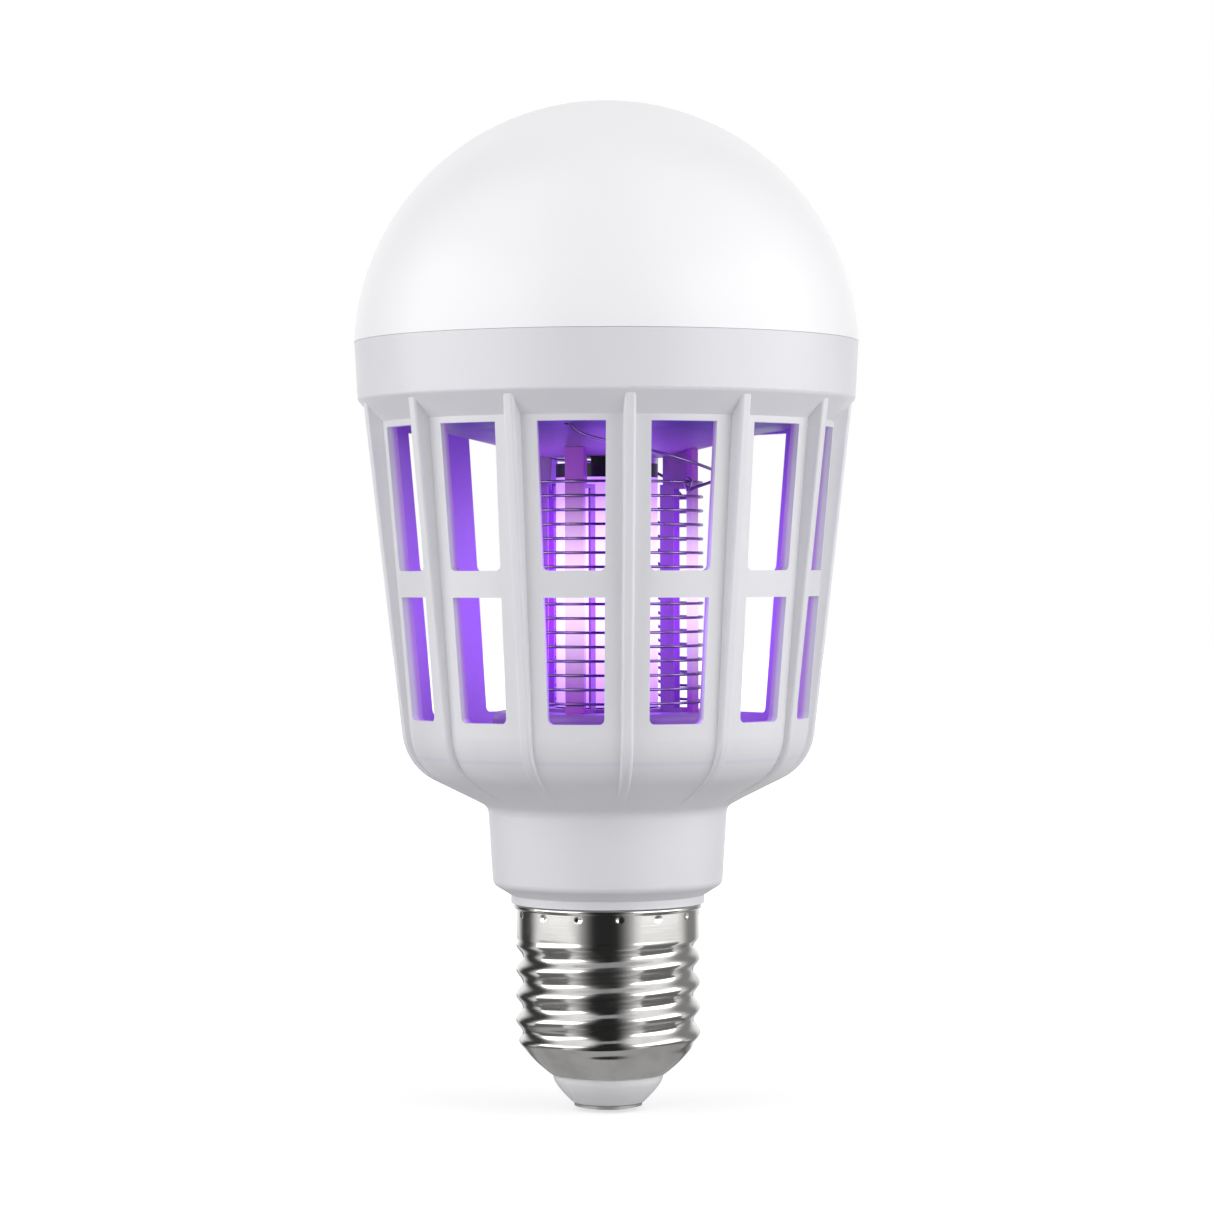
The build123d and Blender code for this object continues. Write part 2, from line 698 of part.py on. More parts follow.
def tube_cap(seat, thickness, inward):
    """Black end cap: a flange on the tube's end and a plug inside the tube."""
    plug_r = TUBE_R - TUBE_WALL - SEAT_GAP
    flange = post(TUBE_R, min(seat, seat - inward * thickness), max(seat, seat - inward * thickness))
    plug_end = seat + inward * TUBE_PLUG
    cap = flange + post(plug_r, min(seat, plug_end), max(seat, plug_end))
    return cap - post(SLEEVE_R + SEAT_GAP, PEDESTAL_TOP_Z - 1, DECK_HUB_Z + 1)


def cable_sleeve():
    """Insulating sleeve from the neck through tube, ceiling and board."""
    outer = post(SLEEVE_R, SLEEVE_FOOT_Z, BOARD_TOP_Z)
    return outer - post(SLEEVE_R - SLEEVE_WALL, SLEEVE_FOOT_Z - 1, BOARD_TOP_Z + 1)


def uv_boards():
    """Two narrow boards, one each side of the sleeve, between the end plugs."""
    foot = TUBE_FOOT_Z + TUBE_PLUG
    height = TUBE_LENGTH - 2 * TUBE_PLUG
    offset = SLEEVE_R + SEAT_GAP + UV_BOARD_THICKNESS / 2
    board = Box(UV_BOARD_WIDTH, UV_BOARD_THICKNESS, height)
    return [Pos(0, side * offset, foot + height / 2) * board for side in (-1, 1)]


def uv_led_chips():
    """Ultraviolet diodes in a column on the outer face of each board."""
    foot = TUBE_FOOT_Z + TUBE_PLUG
    height = TUBE_LENGTH - 2 * TUBE_PLUG
    face = SLEEVE_R + SEAT_GAP + UV_BOARD_THICKNESS + UV_CHIP_HEIGHT / 2
    chip = Box(UV_CHIP_SIDE, UV_CHIP_HEIGHT, UV_CHIP_SIDE)
    return [
        Pos(0, side * face, foot + (index + 0.5) * height / UV_CHIP_COUNT) * chip
        for side in (-1, 1)
        for index in range(UV_CHIP_COUNT)
    ]


def hv_board():
    """Small board on two posts of the deck."""
    middle = Pos(0, -HV_BOARD_CENTRE, HV_BOARD_Z + HV_BOARD_THICKNESS / 2)
    return middle * Box(HV_BOARD_LENGTH, HV_BOARD_WIDTH, HV_BOARD_THICKNESS)


def hv_capacitors():
    """Disc capacitors lying on the small board."""
    top = HV_BOARD_Z + HV_BOARD_THICKNESS
    disc = turned(
        [
            (0, 0),
            (HV_CAPACITOR_R, 0),
            (HV_CAPACITOR_R, HV_CAPACITOR_HEIGHT),
            (0, HV_CAPACITOR_HEIGHT),
        ],
        [(2, 0.8)],
    )
    return [
        Pos(side * HV_CAPACITOR_SPREAD, -HV_BOARD_CENTRE - 1.4, top) * disc
        for side in (-1, 1)
    ]


def hv_diodes():
    """Diodes lying along the inner edge of the small board."""
    top = HV_BOARD_Z + HV_BOARD_THICKNESS
    body = Rot(Y=90) * Cylinder(HV_DIODE_R, HV_DIODE_LENGTH)
    edge = HV_BOARD_CENTRE - HV_BOARD_WIDTH / 2 + HV_DIODE_R + 0.3
    return [
        Pos(index * HV_DIODE_SPREAD, -edge, top + HV_DIODE_R + SEAT_GAP) * body
        for index in (-1, 0, 1)
    ]


def driver_board():
    """Upright supply board, held between the walls of the spigot's bore."""
    height = SUPPLY_BOARD_TOP_Z - SUPPLY_BOARD_FOOT_Z
    board = Box(SUPPLY_BOARD_WIDTH, SUPPLY_BOARD_THICKNESS, height)
    return Pos(0, 0, SUPPLY_BOARD_FOOT_Z + height / 2) * board


def bulk_capacitor():
    """Can with the pressed groove near its foot."""
    groove_z = 2.2
    can = turned(
        [
            (0, 0),
            (BULK_CAPACITOR_R, 0),
            (BULK_CAPACITOR_R, groove_z),
            (BULK_CAPACITOR_R - BULK_CAPACITOR_GROOVE, groove_z + 0.6),
            (BULK_CAPACITOR_R, groove_z + 1.2),
            (BULK_CAPACITOR_R, BULK_CAPACITOR_HEIGHT),
            (0, BULK_CAPACITOR_HEIGHT),
        ],
        [(5, 0.6)],
    )
    offset = SUPPLY_BOARD_THICKNESS / 2 + SEAT_GAP + BULK_CAPACITOR_R
    return Pos(0, -offset, BULK_CAPACITOR_FOOT_Z) * can


def driver_choke():
    """Drum core with a waist that carries the winding."""
    drum = turned(
        [
            (0, 0),
            (CHOKE_R, 0),
            (CHOKE_R, CHOKE_FLANGE),
            (CHOKE_WAIST_R, CHOKE_FLANGE),
            (CHOKE_WAIST_R, CHOKE_HEIGHT - CHOKE_FLANGE),
            (CHOKE_R, CHOKE_HEIGHT - CHOKE_FLANGE),
            (CHOKE_R, CHOKE_HEIGHT),
            (0, CHOKE_HEIGHT),
        ]
    )
    offset = SUPPLY_BOARD_THICKNESS / 2 + SEAT_GAP + CHOKE_R
    return Pos(0, -offset, CHOKE_FOOT_Z) * drum


def bridge_rectifier():
    """Rectifier block on the back of the supply board."""
    length, depth, height = BRIDGE_SIZE
    block = chamfer(Box(length, depth, height).edges().filter_by(Axis.Z)[:1], 0.8)
    offset = SUPPLY_BOARD_THICKNESS / 2 + depth / 2
    return Pos(0, offset, BRIDGE_FOOT_Z + height / 2) * block


def driver_resistors():
    """Resistors lying across the back of the supply board."""
    body = turned(
        [
            (0, -RESISTOR_LENGTH / 2),
            (RESISTOR_R, -RESISTOR_LENGTH / 2),
            (RESISTOR_R, RESISTOR_LENGTH / 2),
            (0, RESISTOR_LENGTH / 2),
        ],
        [(1, 0.4), (2, 0.4)],
    )
    offset = SUPPLY_BOARD_THICKNESS / 2 + SEAT_GAP + RESISTOR_R
    return [Pos(0, offset, height) * (Rot(Y=90) * body) for height in RESISTOR_HEIGHTS]


def shell_lead():
    """Insulated wire from the supply board to the inside of the shell."""
    face = -SUPPLY_BOARD_THICKNESS / 2
    depth = face - 2.6
    shell_inner = THREAD_ROOT_R - SHELL_WALL - 2 * SEAT_GAP
    reach = math.sqrt((shell_inner - SUPPLY_WIRE_R / 2) ** 2 - depth**2) - SUPPLY_WIRE_R / 2
    points = [
        (SUPPLY_WIRE_OFFSET, face, SUPPLY_WIRE_Z),
        (SUPPLY_WIRE_OFFSET, depth, SUPPLY_WIRE_Z),
        (SUPPLY_WIRE_OFFSET, depth, SHELL_BOWL_Z + 2.4),
        (reach, depth, SHELL_BOWL_Z + 2.4),
    ]
    return wire(points, SUPPLY_WIRE_R, [1.2, SUPPLY_WIRE_BEND])


def contact_lead():
    """Insulated wire from the supply board to the contact's stem."""
    face = -SUPPLY_BOARD_THICKNESS / 2
    depth = face - 2.6
    points = [
        (-SUPPLY_WIRE_OFFSET, face, SUPPLY_WIRE_Z),
        (-SUPPLY_WIRE_OFFSET, depth, SUPPLY_WIRE_Z),
        (-SUPPLY_WIRE_OFFSET, depth, SHELL_BOWL_Z + 1.6),
        (0, 0, SHELL_BOWL_Z + 1.2),
        (0, 0, CONTACT_STEM_TOP_Z),
    ]
    return wire(points, SUPPLY_WIRE_R, [1.2, SUPPLY_WIRE_BEND, 1.2])


def save(name, *shapes):
    """Writes one node from its solid or its separate like solids."""
    solids = [solid for shape in shapes for solid in shape.solids()]
    node = solids[0] if len(solids) == 1 else Compound(children=solids)
    node.label = name
    export_step(node, f"parts/{name}.step")


def build():
    """Makes every node of the lamp."""
    os.makedirs("parts", exist_ok=True)
    save("screw_shell", screw_shell())
    save("cap_insulator", cap_insulator())
    save("centre_contact", centre_contact())
    save("cage_housing", cage_housing())
    save("diffuser_dome", diffuser_dome())
    save("upper_deck", upper_deck())
    save("led_board", led_board())
    save("led_chips", *led_chips())
    save("led_board_screws", *led_board_screws())
    save("grid_base", grid_base())
    save("grid_frame", grid_frame())
    save("grid_wire_a", grid_wire(0))
    save("grid_wire_b", grid_wire(180))
    save("lead_wire_a", lead_wire_a())
    save("lead_wire_b", lead_wire_b())
    save("uv_tube", uv_tube())
    save("tube_bottom_cap", tube_cap(TUBE_FOOT_Z, TUBE_FOOT_CAP, 1))
    save("tube_top_cap", tube_cap(TUBE_TOP_Z, TUBE_HEAD_CAP, -1))
    save("cable_sleeve", cable_sleeve())
    save("uv_boards", *uv_boards())
    save("uv_led_chips", *uv_led_chips())
    save("hv_board", hv_board())
    save("hv_capacitors", *hv_capacitors())
    save("hv_diodes", *hv_diodes())
    save("driver_board", driver_board())
    save("bulk_capacitor", bulk_capacitor())
    save("driver_choke", driver_choke())
    save("bridge_rectifier", bridge_rectifier())
    save("driver_resistors", *driver_resistors())
    save("shell_lead", shell_lead())
    save("contact_lead", contact_lead())


build()
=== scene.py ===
"""Visual model of a caged insect lamp, built round its CAD frame, in metres."""

import math

import bpy
import numpy as np
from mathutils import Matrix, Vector


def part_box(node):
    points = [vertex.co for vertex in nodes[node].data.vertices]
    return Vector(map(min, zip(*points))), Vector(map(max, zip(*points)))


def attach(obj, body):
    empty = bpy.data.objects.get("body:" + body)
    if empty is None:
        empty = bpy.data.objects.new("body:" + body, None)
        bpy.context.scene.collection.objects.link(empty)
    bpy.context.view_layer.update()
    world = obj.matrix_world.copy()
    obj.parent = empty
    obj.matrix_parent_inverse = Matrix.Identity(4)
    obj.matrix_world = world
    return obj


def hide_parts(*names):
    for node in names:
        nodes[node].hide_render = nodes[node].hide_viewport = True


bl_info = {
    "name": "Caged Insect Lamp",
    "version": (1, 0, 0),
    "blender": (4, 5, 0),
    "location": "3D View > Sidebar > Insect Lamp",
    "description": "Rolled cap, wound grid, finishes and studio of a caged insect lamp",
    "category": "Object",
}

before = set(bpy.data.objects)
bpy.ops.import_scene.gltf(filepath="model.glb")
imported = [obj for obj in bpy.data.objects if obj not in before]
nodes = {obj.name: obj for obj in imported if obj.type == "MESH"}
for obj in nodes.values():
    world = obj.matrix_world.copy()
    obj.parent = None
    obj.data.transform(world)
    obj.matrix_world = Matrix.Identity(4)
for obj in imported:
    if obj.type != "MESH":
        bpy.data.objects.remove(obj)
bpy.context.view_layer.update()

MM = 0.001
TUBE_FOOT, TUBE_TOP = (edge[2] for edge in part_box("uv_tube"))


# Sizes and colours that a user would change


class CapSizes(bpy.types.PropertyGroup):
    """Sizes of the rolled screw shell, in metres."""

    pitch: bpy.props.FloatProperty(
        name="Thread pitch", description="Rise of the thread in one turn",
        default=3.629 * MM, unit="LENGTH")
    crest_radius: bpy.props.FloatProperty(
        name="Crest radius", description="Radius over the thread's crests",
        default=13.24 * MM, unit="LENGTH")
    root_radius: bpy.props.FloatProperty(
        name="Root radius", description="Radius in the thread's roots",
        default=12.3 * MM, unit="LENGTH")
    band_radius: bpy.props.FloatProperty(
        name="Band radius", description="Radius of the plain band over the thread",
        default=13.14 * MM, unit="LENGTH")
    wall: bpy.props.FloatProperty(
        name="Wall", description="Thickness of the shell's sheet",
        default=0.3 * MM, unit="LENGTH")
    crest_height: bpy.props.FloatProperty(
        name="Crest height", description="Height of a crest at the front rib",
        default=10.26 * MM, unit="LENGTH")
    crimps: bpy.props.IntProperty(
        name="Crimps", description="Punch marks under the rim", default=14)
    crimp_depth: bpy.props.FloatProperty(
        name="Crimp depth", description="Depth of each punch mark",
        default=0.17 * MM, unit="LENGTH")


class GridSizes(bpy.types.PropertyGroup):
    """Sizes of the wound wire grid, in metres."""

    coil_radius: bpy.props.FloatProperty(
        name="Coil radius", description="Radius to the middle of the wire",
        default=13.7 * MM, unit="LENGTH")
    wire_radius: bpy.props.FloatProperty(
        name="Wire radius", description="Radius of the bare wire",
        default=0.22 * MM, unit="LENGTH")
    step: bpy.props.FloatProperty(
        name="Ring step", description="Height from one ring to the next",
        default=2.015 * MM, unit="LENGTH")
    middle_gap: bpy.props.FloatProperty(
        name="Middle gap", description="Extra height between the two halves",
        default=1.2 * MM, unit="LENGTH")
    rings: bpy.props.IntProperty(
        name="Rings", description="Rings of each wire", default=8)
    foot_height: bpy.props.FloatProperty(
        name="Foot height", description="Height of the lowest ring",
        default=58.8 * MM, unit="LENGTH")
    climb: bpy.props.FloatProperty(
        name="Climb", description="Share of a turn over which a wire climbs", default=0.139)
    fin_turn: bpy.props.FloatProperty(
        name="Fin turn", description="Angle of the first fin from the front rib",
        default=math.radians(-25.3), subtype="ANGLE")
    fins: bpy.props.IntProperty(
        name="Fins", description="Upright fins that hold the wires", default=4)
    strip_radius: bpy.props.FloatProperty(
        name="Strip radius", description="Radius over the outer strip of a fin",
        default=13.42 * MM, unit="LENGTH")
    strip_width: bpy.props.FloatProperty(
        name="Strip width", description="Width of a fin", default=2.8 * MM, unit="LENGTH")
    strip_depth: bpy.props.FloatProperty(
        name="Strip depth", description="Thickness of the outer strip",
        default=0.8 * MM, unit="LENGTH")
    leg_radius: bpy.props.FloatProperty(
        name="Leg radius", description="Radius to the inner edge of a fin's legs",
        default=8.6 * MM, unit="LENGTH")
    leg_depth: bpy.props.FloatProperty(
        name="Leg depth", description="Depth of a fin's legs from their inner edge",
        default=2.0 * MM, unit="LENGTH")
    leg_wall: bpy.props.FloatProperty(
        name="Leg wall", description="Thickness of a fin's legs",
        default=0.32 * MM, unit="LENGTH")
    bridge: bpy.props.FloatProperty(
        name="Bridge", description="Height of the bridges between strip and legs",
        default=0.6 * MM, unit="LENGTH")


class FinishColours(bpy.types.PropertyGroup):
    """Colours of the main finishes and the strength of the glow."""

    housing: bpy.props.FloatVectorProperty(
        name="Housing", description="White of the moulded cage",
        default=(0.79, 0.79, 0.815), subtype="COLOR")
    dome: bpy.props.FloatVectorProperty(
        name="Dome", description="White of the frosted cover",
        default=(0.88, 0.88, 0.885), subtype="COLOR")
    glow: bpy.props.FloatVectorProperty(
        name="Glow", description="Violet that the tube throws on its surroundings",
        default=(0.38, 0.12, 1.0), subtype="COLOR")
    tube: bpy.props.FloatVectorProperty(
        name="Tube", description="Colour of the lit tube as it is seen",
        default=(1.0, 0.86, 1.0), subtype="COLOR")
    nickel: bpy.props.FloatVectorProperty(
        name="Nickel", description="Colour of the plated shell",
        default=(0.74, 0.73, 0.71), subtype="COLOR")
    # Violet painted into the inner deck's white: painted light of the tube.
    lining: bpy.props.FloatVectorProperty(
        name="Lining", description="White of the inner skin as the violet light leaves it",
        default=(0.48, 0.25, 0.58), subtype="COLOR")
    glow_strength: bpy.props.FloatProperty(
        name="Glow strength", description="Strength of the tube's light", default=6.5)


class StudioSetup(bpy.types.PropertyGroup):
    """Camera and lamps."""

    azimuth: bpy.props.FloatProperty(
        name="Azimuth", description="Camera's angle round the lamp",
        default=math.radians(-5.3), subtype="ANGLE")
    distance: bpy.props.FloatProperty(
        name="Distance", description="Camera's distance from the lamp's axis",
        default=0.53, unit="LENGTH")
    height: bpy.props.FloatProperty(
        name="Height", description="Camera's height over the floor",
        default=77 * MM, unit="LENGTH")
    roll: bpy.props.FloatProperty(
        name="Roll", description="Lean of the camera round its own line of sight",
        default=math.radians(-0.14), subtype="ANGLE")
    lens: bpy.props.FloatProperty(
        name="Lens", description="Focal length in millimetres", default=108.9)
    shift: bpy.props.FloatProperty(
        name="Shift", description="Upward shift of the view, as a share of its width",
        default=-0.0264)
    side_power: bpy.props.FloatProperty(
        name="Side lamps", description="Power of each side lamp",
        default=3.55, subtype="POWER")
    top_power: bpy.props.FloatProperty(
        name="Top lamp", description="Power of the lamp overhead",
        default=0.6, subtype="POWER")
    world_level: bpy.props.FloatProperty(
        name="World level", description="Level of the light all round", default=0.53)


# Shapes


def smooth(value, low, high):
    """Share from 0 at low to 1 at high with level ends: t squared times 3 less 2t."""
    share = np.clip((value - low) / (high - low), 0, 1)
    return share * share * (3 - 2 * share)


def polar(radius, angle, height):
    """Points at radii, angles from +X in radians, and heights."""
    return np.stack(
        np.broadcast_arrays(radius * np.cos(angle), radius * np.sin(angle), height),
        axis=-1,
    )


def ring_quads(rows, columns, close_rows):
    """Quads of a grid of points, joined round its columns and, if asked, its rows."""
    last = rows if close_rows else rows - 1
    row = np.arange(last)[:, None]
    column = np.arange(columns)[None, :]
    above = (row + 1) % rows
    beside = (column + 1) % columns
    corners = [
        row * columns + column,
        row * columns + beside,
        above * columns + beside,
        above * columns + column,
    ]
    return np.stack(corners, axis=-1).reshape(-1, 4)


def lay_mesh(name, points, faces, ends=(), rounded=True):
    """Object whose mesh has these points, four-cornered faces and many-cornered ends."""
    mesh = bpy.data.meshes.new(name)
    mesh.from_pydata(points.reshape(-1, 3).tolist(), [], faces.tolist() + list(ends))
    mesh.validate()
    mesh.polygons.foreach_set("use_smooth", np.full(len(mesh.polygons), rounded))
    mesh.update()
    piece = bpy.data.objects.new(name, mesh)
    bpy.context.scene.collection.objects.link(piece)
    return piece


def carry_round(path, radius, sides):
    """Round section carried along a path.

    Each point is the path's point plus the radius times the cosine of the section's
    angle along the side direction, which is the tangent crossed with up, plus the
    sine of it along the tangent crossed with that side."""
    tangent = np.gradient(path, axis=0)
    tangent /= np.linalg.norm(tangent, axis=1, keepdims=True)
    up = np.array([0.12, 0.05, 0.99])  # leans a little, so that no lead runs along it
    side = np.cross(tangent, up)
    side /= np.linalg.norm(side, axis=1, keepdims=True)
    over = np.cross(side, tangent)
    angle = np.linspace(0, 2 * np.pi, sides, endpoint=False)
    ring = (
        np.cos(angle)[None, :, None] * side[:, None, :]
        + np.sin(angle)[None, :, None] * over[:, None, :]
    )
    return path[:, None, :] + radius * ring


def wire_piece(name, path, radius, sides):
    """Closed round wire along a path, with a flat face at each end."""
    points = carry_round(path, radius, sides)
    rows = len(path)
    first = list(range(sides))
    last = [(rows - 1) * sides + k for k in range(sides)][::-1]
    faces = ring_quads(rows, sides, close_rows=False)[:, ::-1]
    return lay_mesh(name, points, faces, ends=(first, last))


def eased_path(knots, steps):
    """Path through knots: on each span, the cubic whose slope at a knot is half the
    way between the knot's two neighbours."""
    knots = np.asarray(knots, dtype=float)
    before = np.vstack([2 * knots[0] - knots[1], knots[:-1]])[:-1]
    after = np.vstack([knots[1:], 2 * knots[-1] - knots[-2]])[1:]
    start, end = knots[:-1], knots[1:]
    share = np.linspace(0, 1, steps, endpoint=False)[None, :, None]
    start, end, before, after = (a[:, None, :] for a in (start, end, before, after))
    body = 0.5 * (
        2 * start
        + (end - before) * share
        + (2 * before - 5 * start + 4 * end - after) * share**2
        + (3 * start - before - 3 * end + after) * share**3
    )
    return np.vstack([body.reshape(-1, knots.shape[1]), knots[-1:]])


def shell_rows(cap):
    """Section of the shell, once round its wall, as one row for each point.

    The columns are radius, height, share of the thread's wave and share of the
    crimps' depth. The bowl's radius grows as one less the remaining height to the
    power one and a half. The band is level, the rim is a round bead, and the
    inside follows the outside one wall further in."""
    foot_r, foot_z, bowl_z, band_z = 8.3 * MM, 5.2 * MM, 10.4 * MM, 26.7 * MM
    bead_r, bead_z, bead_proud = 0.4 * MM, 29.4 * MM, 0.06 * MM
    fade_in, fade_out = (8.4 * MM, 10.8 * MM), (23.5 * MM, 25.2 * MM)
    mean_r = (cap.crest_radius + cap.root_radius) / 2

    def plain(height):
        rise = np.clip((height - foot_z) / (bowl_z - foot_z), 0, 1)
        bowl = foot_r + (mean_r - foot_r) * (1 - (1 - rise) ** 1.5)
        return bowl + (cap.band_radius - mean_r) * smooth(height, *fade_out)

    def rows(height, inset):
        wave = smooth(height, *fade_in) * (1 - smooth(height, *fade_out))
        return np.stack(
            [plain(height) - inset, height, wave, np.ones_like(height)], axis=1
        )

    outside = np.concatenate([
        foot_z + (bowl_z - foot_z) * np.linspace(0, 1, 26, endpoint=False) ** 1.3,
        np.linspace(bowl_z, fade_out[1], 140, endpoint=False),
        np.linspace(fade_out[1], band_z, 10, endpoint=False),
        np.linspace(band_z, bead_z - bead_r, 22),
    ])
    swing = np.radians(np.linspace(-60, 170, 14))
    bead = np.stack([
        cap.band_radius + bead_proud + bead_r * np.cos(swing),
        bead_z + bead_r * np.sin(swing),
        np.zeros_like(swing),
        np.zeros_like(swing),
    ], axis=1)
    inside = np.linspace(bead_z - bead_r, foot_z + cap.wall, 64)
    return np.concatenate([rows(outside, 0), bead, rows(inside, cap.wall)])


def roll_shell(cap):
    """Rolled shell as a surface over turn and section.

    The radius is the section's, plus the wave's share times half the thread's depth
    times the cosine of the height above a crest in pitches, where a crest climbs one
    pitch a turn, less a dimple at each crimp that falls off with the fourth power of
    the distance."""
    rows, columns = shell_rows(cap), 336
    first_turn, crimp_z = math.radians(1.9), 28.35 * MM
    crimp_wide, crimp_tall = 0.3 * MM, 0.34 * MM
    radius, height, wave, dented = (rows[:, k][:, None] for k in range(4))
    turn = np.linspace(0, 2 * np.pi, columns, endpoint=False)[None, :]
    depth = (cap.crest_radius - cap.root_radius) / 2
    climb = (height - cap.crest_height) / cap.pitch - turn / (2 * np.pi)
    radius = radius + wave * depth * np.cos(2 * np.pi * climb)
    step = 2 * np.pi / cap.crimps
    aside = (turn - first_turn + step / 2) % step - step / 2
    away = (aside * cap.band_radius / crimp_wide) ** 2
    away = away + ((height - crimp_z) / crimp_tall) ** 2
    radius = radius - dented * cap.crimp_depth * np.exp(-away * away)
    faces = ring_quads(len(rows), columns, close_rows=True)
    return lay_mesh("rolled_shell", polar(radius, turn - np.pi / 2, height), faces)


def coil_path(grid, first, cut):
    """Route of one wire that takes every second ring.

    The angle grows evenly from beside the rear fin. In each turn the height stays
    level past the front, and climbs by a smooth step over the last part, where the
    wire goes from one notch of the rear fin up to its next. The last ring ends before
    its climb, less the angle cut."""
    turns, points_a_turn = grid.rings - grid.climb - cut / 360, 96
    share = np.linspace(0, turns, round(turns * points_a_turn))
    turn = np.floor(share)
    climb = smooth(share - turn, 1 - grid.climb, 1.0)
    ring = first + 2 * (turn + climb)
    height = grid.foot_height + ring * grid.step
    height = height + grid.middle_gap * smooth(ring, grid.rings - 1, grid.rings)
    where = grid.fin_turn + np.pi / 2 + np.pi * grid.climb + 2 * np.pi * share
    return polar(grid.coil_radius, where, height)


def fin_blocks(grid):
    """Blocks of one fin, as inner and outer radius, both sides, foot and top.

    A fin is a channel that opens towards the tube. The strip at its back runs up to
    the ceiling, with a thin web behind its head. Its two legs end under the tube's cap
    and stand clear of the strip, apart from a bridge at each end."""
    foot, top = (edge[2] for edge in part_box("grid_frame"))
    half, lap, below_cap = grid.strip_width / 2, 0.1 * MM, 1.1 * MM
    leg_top = TUBE_TOP - below_cap
    back = grid.strip_radius - grid.strip_depth
    leg_back = grid.leg_radius + grid.leg_depth
    web = grid.leg_wall / 2
    blocks = [(back, grid.strip_radius, -half, half, foot, top),
              (grid.leg_radius, back + lap, -web, web, leg_top - grid.bridge, top)]
    for left, right in ((-half, grid.leg_wall - half), (half - grid.leg_wall, half)):
        blocks.append((grid.leg_radius, leg_back, left, right, foot, leg_top))
        for low in (foot, leg_top - grid.bridge):
            blocks.append((leg_back - lap, back + lap, left, right, low, low + grid.bridge))
    return np.array(blocks)


def turn_section(name, section):
    """Closed solid of revolution from a section given as radius and height in
    millimetres, once round against the clock."""
    radius, height = np.array(section).T[:, :, None] * MM
    columns = 128
    turn = np.linspace(0, 2 * np.pi, columns, endpoint=False)[None, :]
    faces = ring_quads(len(section), columns, close_rows=True)
    return lay_mesh(name, polar(radius, turn, height), faces)


def press_insulator():
    """Insulator of the cap, whose side swells a little between shoulder and tip."""
    side = eased_path([(4.7, 0.95), (5.15, 1.12), (5.62, 1.55), (6.35, 2.3),
                       (7.12, 3.2), (7.75, 4.2), (8.0, 5.2)], steps=6)
    bore = [(1.55, 7.2), (1.55, 0.95), (3.2, 0.95)]
    back = [(8.0, 6.2), (8.0, 7.2), (4.0, 7.2)]
    return turn_section("pressed_insulator", [*bore, *side.tolist(), *back])


def mould_fins(grid):
    """Spider of fins on a foot ring.

    Each block has eight corners. Each fin is the first one turned by its share of a
    full turn: x is the radius times the cosine less the side times the sine, and y is
    the radius times the sine plus the side times the cosine."""
    blocks = fin_blocks(grid)
    corner = np.array([[i, j, k] for k in (4, 5) for j in (2, 3) for i in (0, 1)])
    radius, side, height = np.moveaxis(blocks[:, corner], -1, 0)
    angle = grid.fin_turn - np.pi / 2 + 2 * np.pi * np.arange(grid.fins) / grid.fins
    angle = angle[:, None, None]
    solid_corners = np.stack(np.broadcast_arrays(
        radius * np.cos(angle) - side * np.sin(angle),
        radius * np.sin(angle) + side * np.cos(angle), height), axis=-1).reshape(-1, 3)
    box = np.array([[0, 2, 3, 1], [4, 5, 7, 6], [0, 4, 6, 2],
                    [1, 3, 7, 5], [0, 1, 5, 4], [2, 6, 7, 3]])
    starts = 8 * np.arange(grid.fins * len(blocks))[:, None, None]
    box_faces = (starts + box).reshape(-1, 4)
    columns, foot = 96, blocks[0, 4]
    turn = np.linspace(0, 2 * np.pi, columns, endpoint=False)[None, :]
    ring_r = np.array([7.8, 8.9, 8.9, 7.8])[:, None] * MM
    ring_z = foot + np.array([0, 0, 0.5, 0.5])[:, None] * MM
    ring = polar(ring_r, turn, ring_z).reshape(-1, 3)
    ring_faces = ring_quads(4, columns, close_rows=True) + len(solid_corners)
    return lay_mesh("moulded_fins", np.concatenate([solid_corners, ring]),
                    np.concatenate([box_faces, ring_faces]), rounded=False)


# Spots of the front lead: out of its hole, past the front, back in a hairpin and once
# round the top ring. Those of the rear lead go from behind the tube to the second wire.
# Each is a turn in degrees from the front rib towards +X, a radius and a height.
LEAD_SPOTS = {
    "lead_wire_a": (
        (-17.5, 25.0, 100.6), (-17.5, 25.0, 98.4), (-14.5, 23.8, 96.7), (-4.0, 20.7, 95.5),
        (14.0, 20.0, 94.2), (32.0, 19.6, 92.8), (48.0, 19.2, 91.65), (59.0, 18.7, 91.2),
        (62.4, 18.3, 91.05), (62.0, 17.7, 90.8), (58.6, 16.2, 90.1), (55.4, 14.7, 89.5),
        (53.8, 13.9, 89.2), (52.8, 13.3, 89.6), (52.4, 13.2, 90.3), (52.4, 13.7, 90.72),
        (52.2, 14.2, 90.3), (51.8, 14.15, 89.6), (51.0, 13.8, 89.05), (50.6, 14.1, 88.9),
    ),
    "lead_wire_b": (
        (214, 15.5, 98.7), (214, 15.5, 95.3), (210, 15.2, 94.2), (190, 14.6, 93.85),
        (160, 14.4, 93.2), (140, 14.4, 91.6), (129, 14.3, 89.5), (124.5, 14.25, 88.6),
    ),
}


def lead_path(spots):
    """Smooth route through the spots of a lead."""
    turn, radius, height = np.array(spots).T
    return eased_path(polar(radius, np.radians(turn - 90), height) * MM, steps=10)


# Node trees


def fill_socket(tree, socket, value):
    """Sets a socket, with a link where the value is another node's output."""
    if isinstance(value, bpy.types.NodeSocket):
        tree.links.new(value, socket)
    else:
        socket.default_value = value


def feed(tree, target, name, value):
    """Sets a node's input by its name or place."""
    fill_socket(tree, target.inputs[name], value)


def put(tree, kind, sockets=None, **settings):
    """New node of a kind, with its settings and inputs."""
    made = tree.nodes.new("ShaderNode" + kind)
    for key, value in settings.items():
        setattr(made, key, value)
    for socket, value in (sockets or {}).items():
        feed(tree, made, socket, value)
    return made


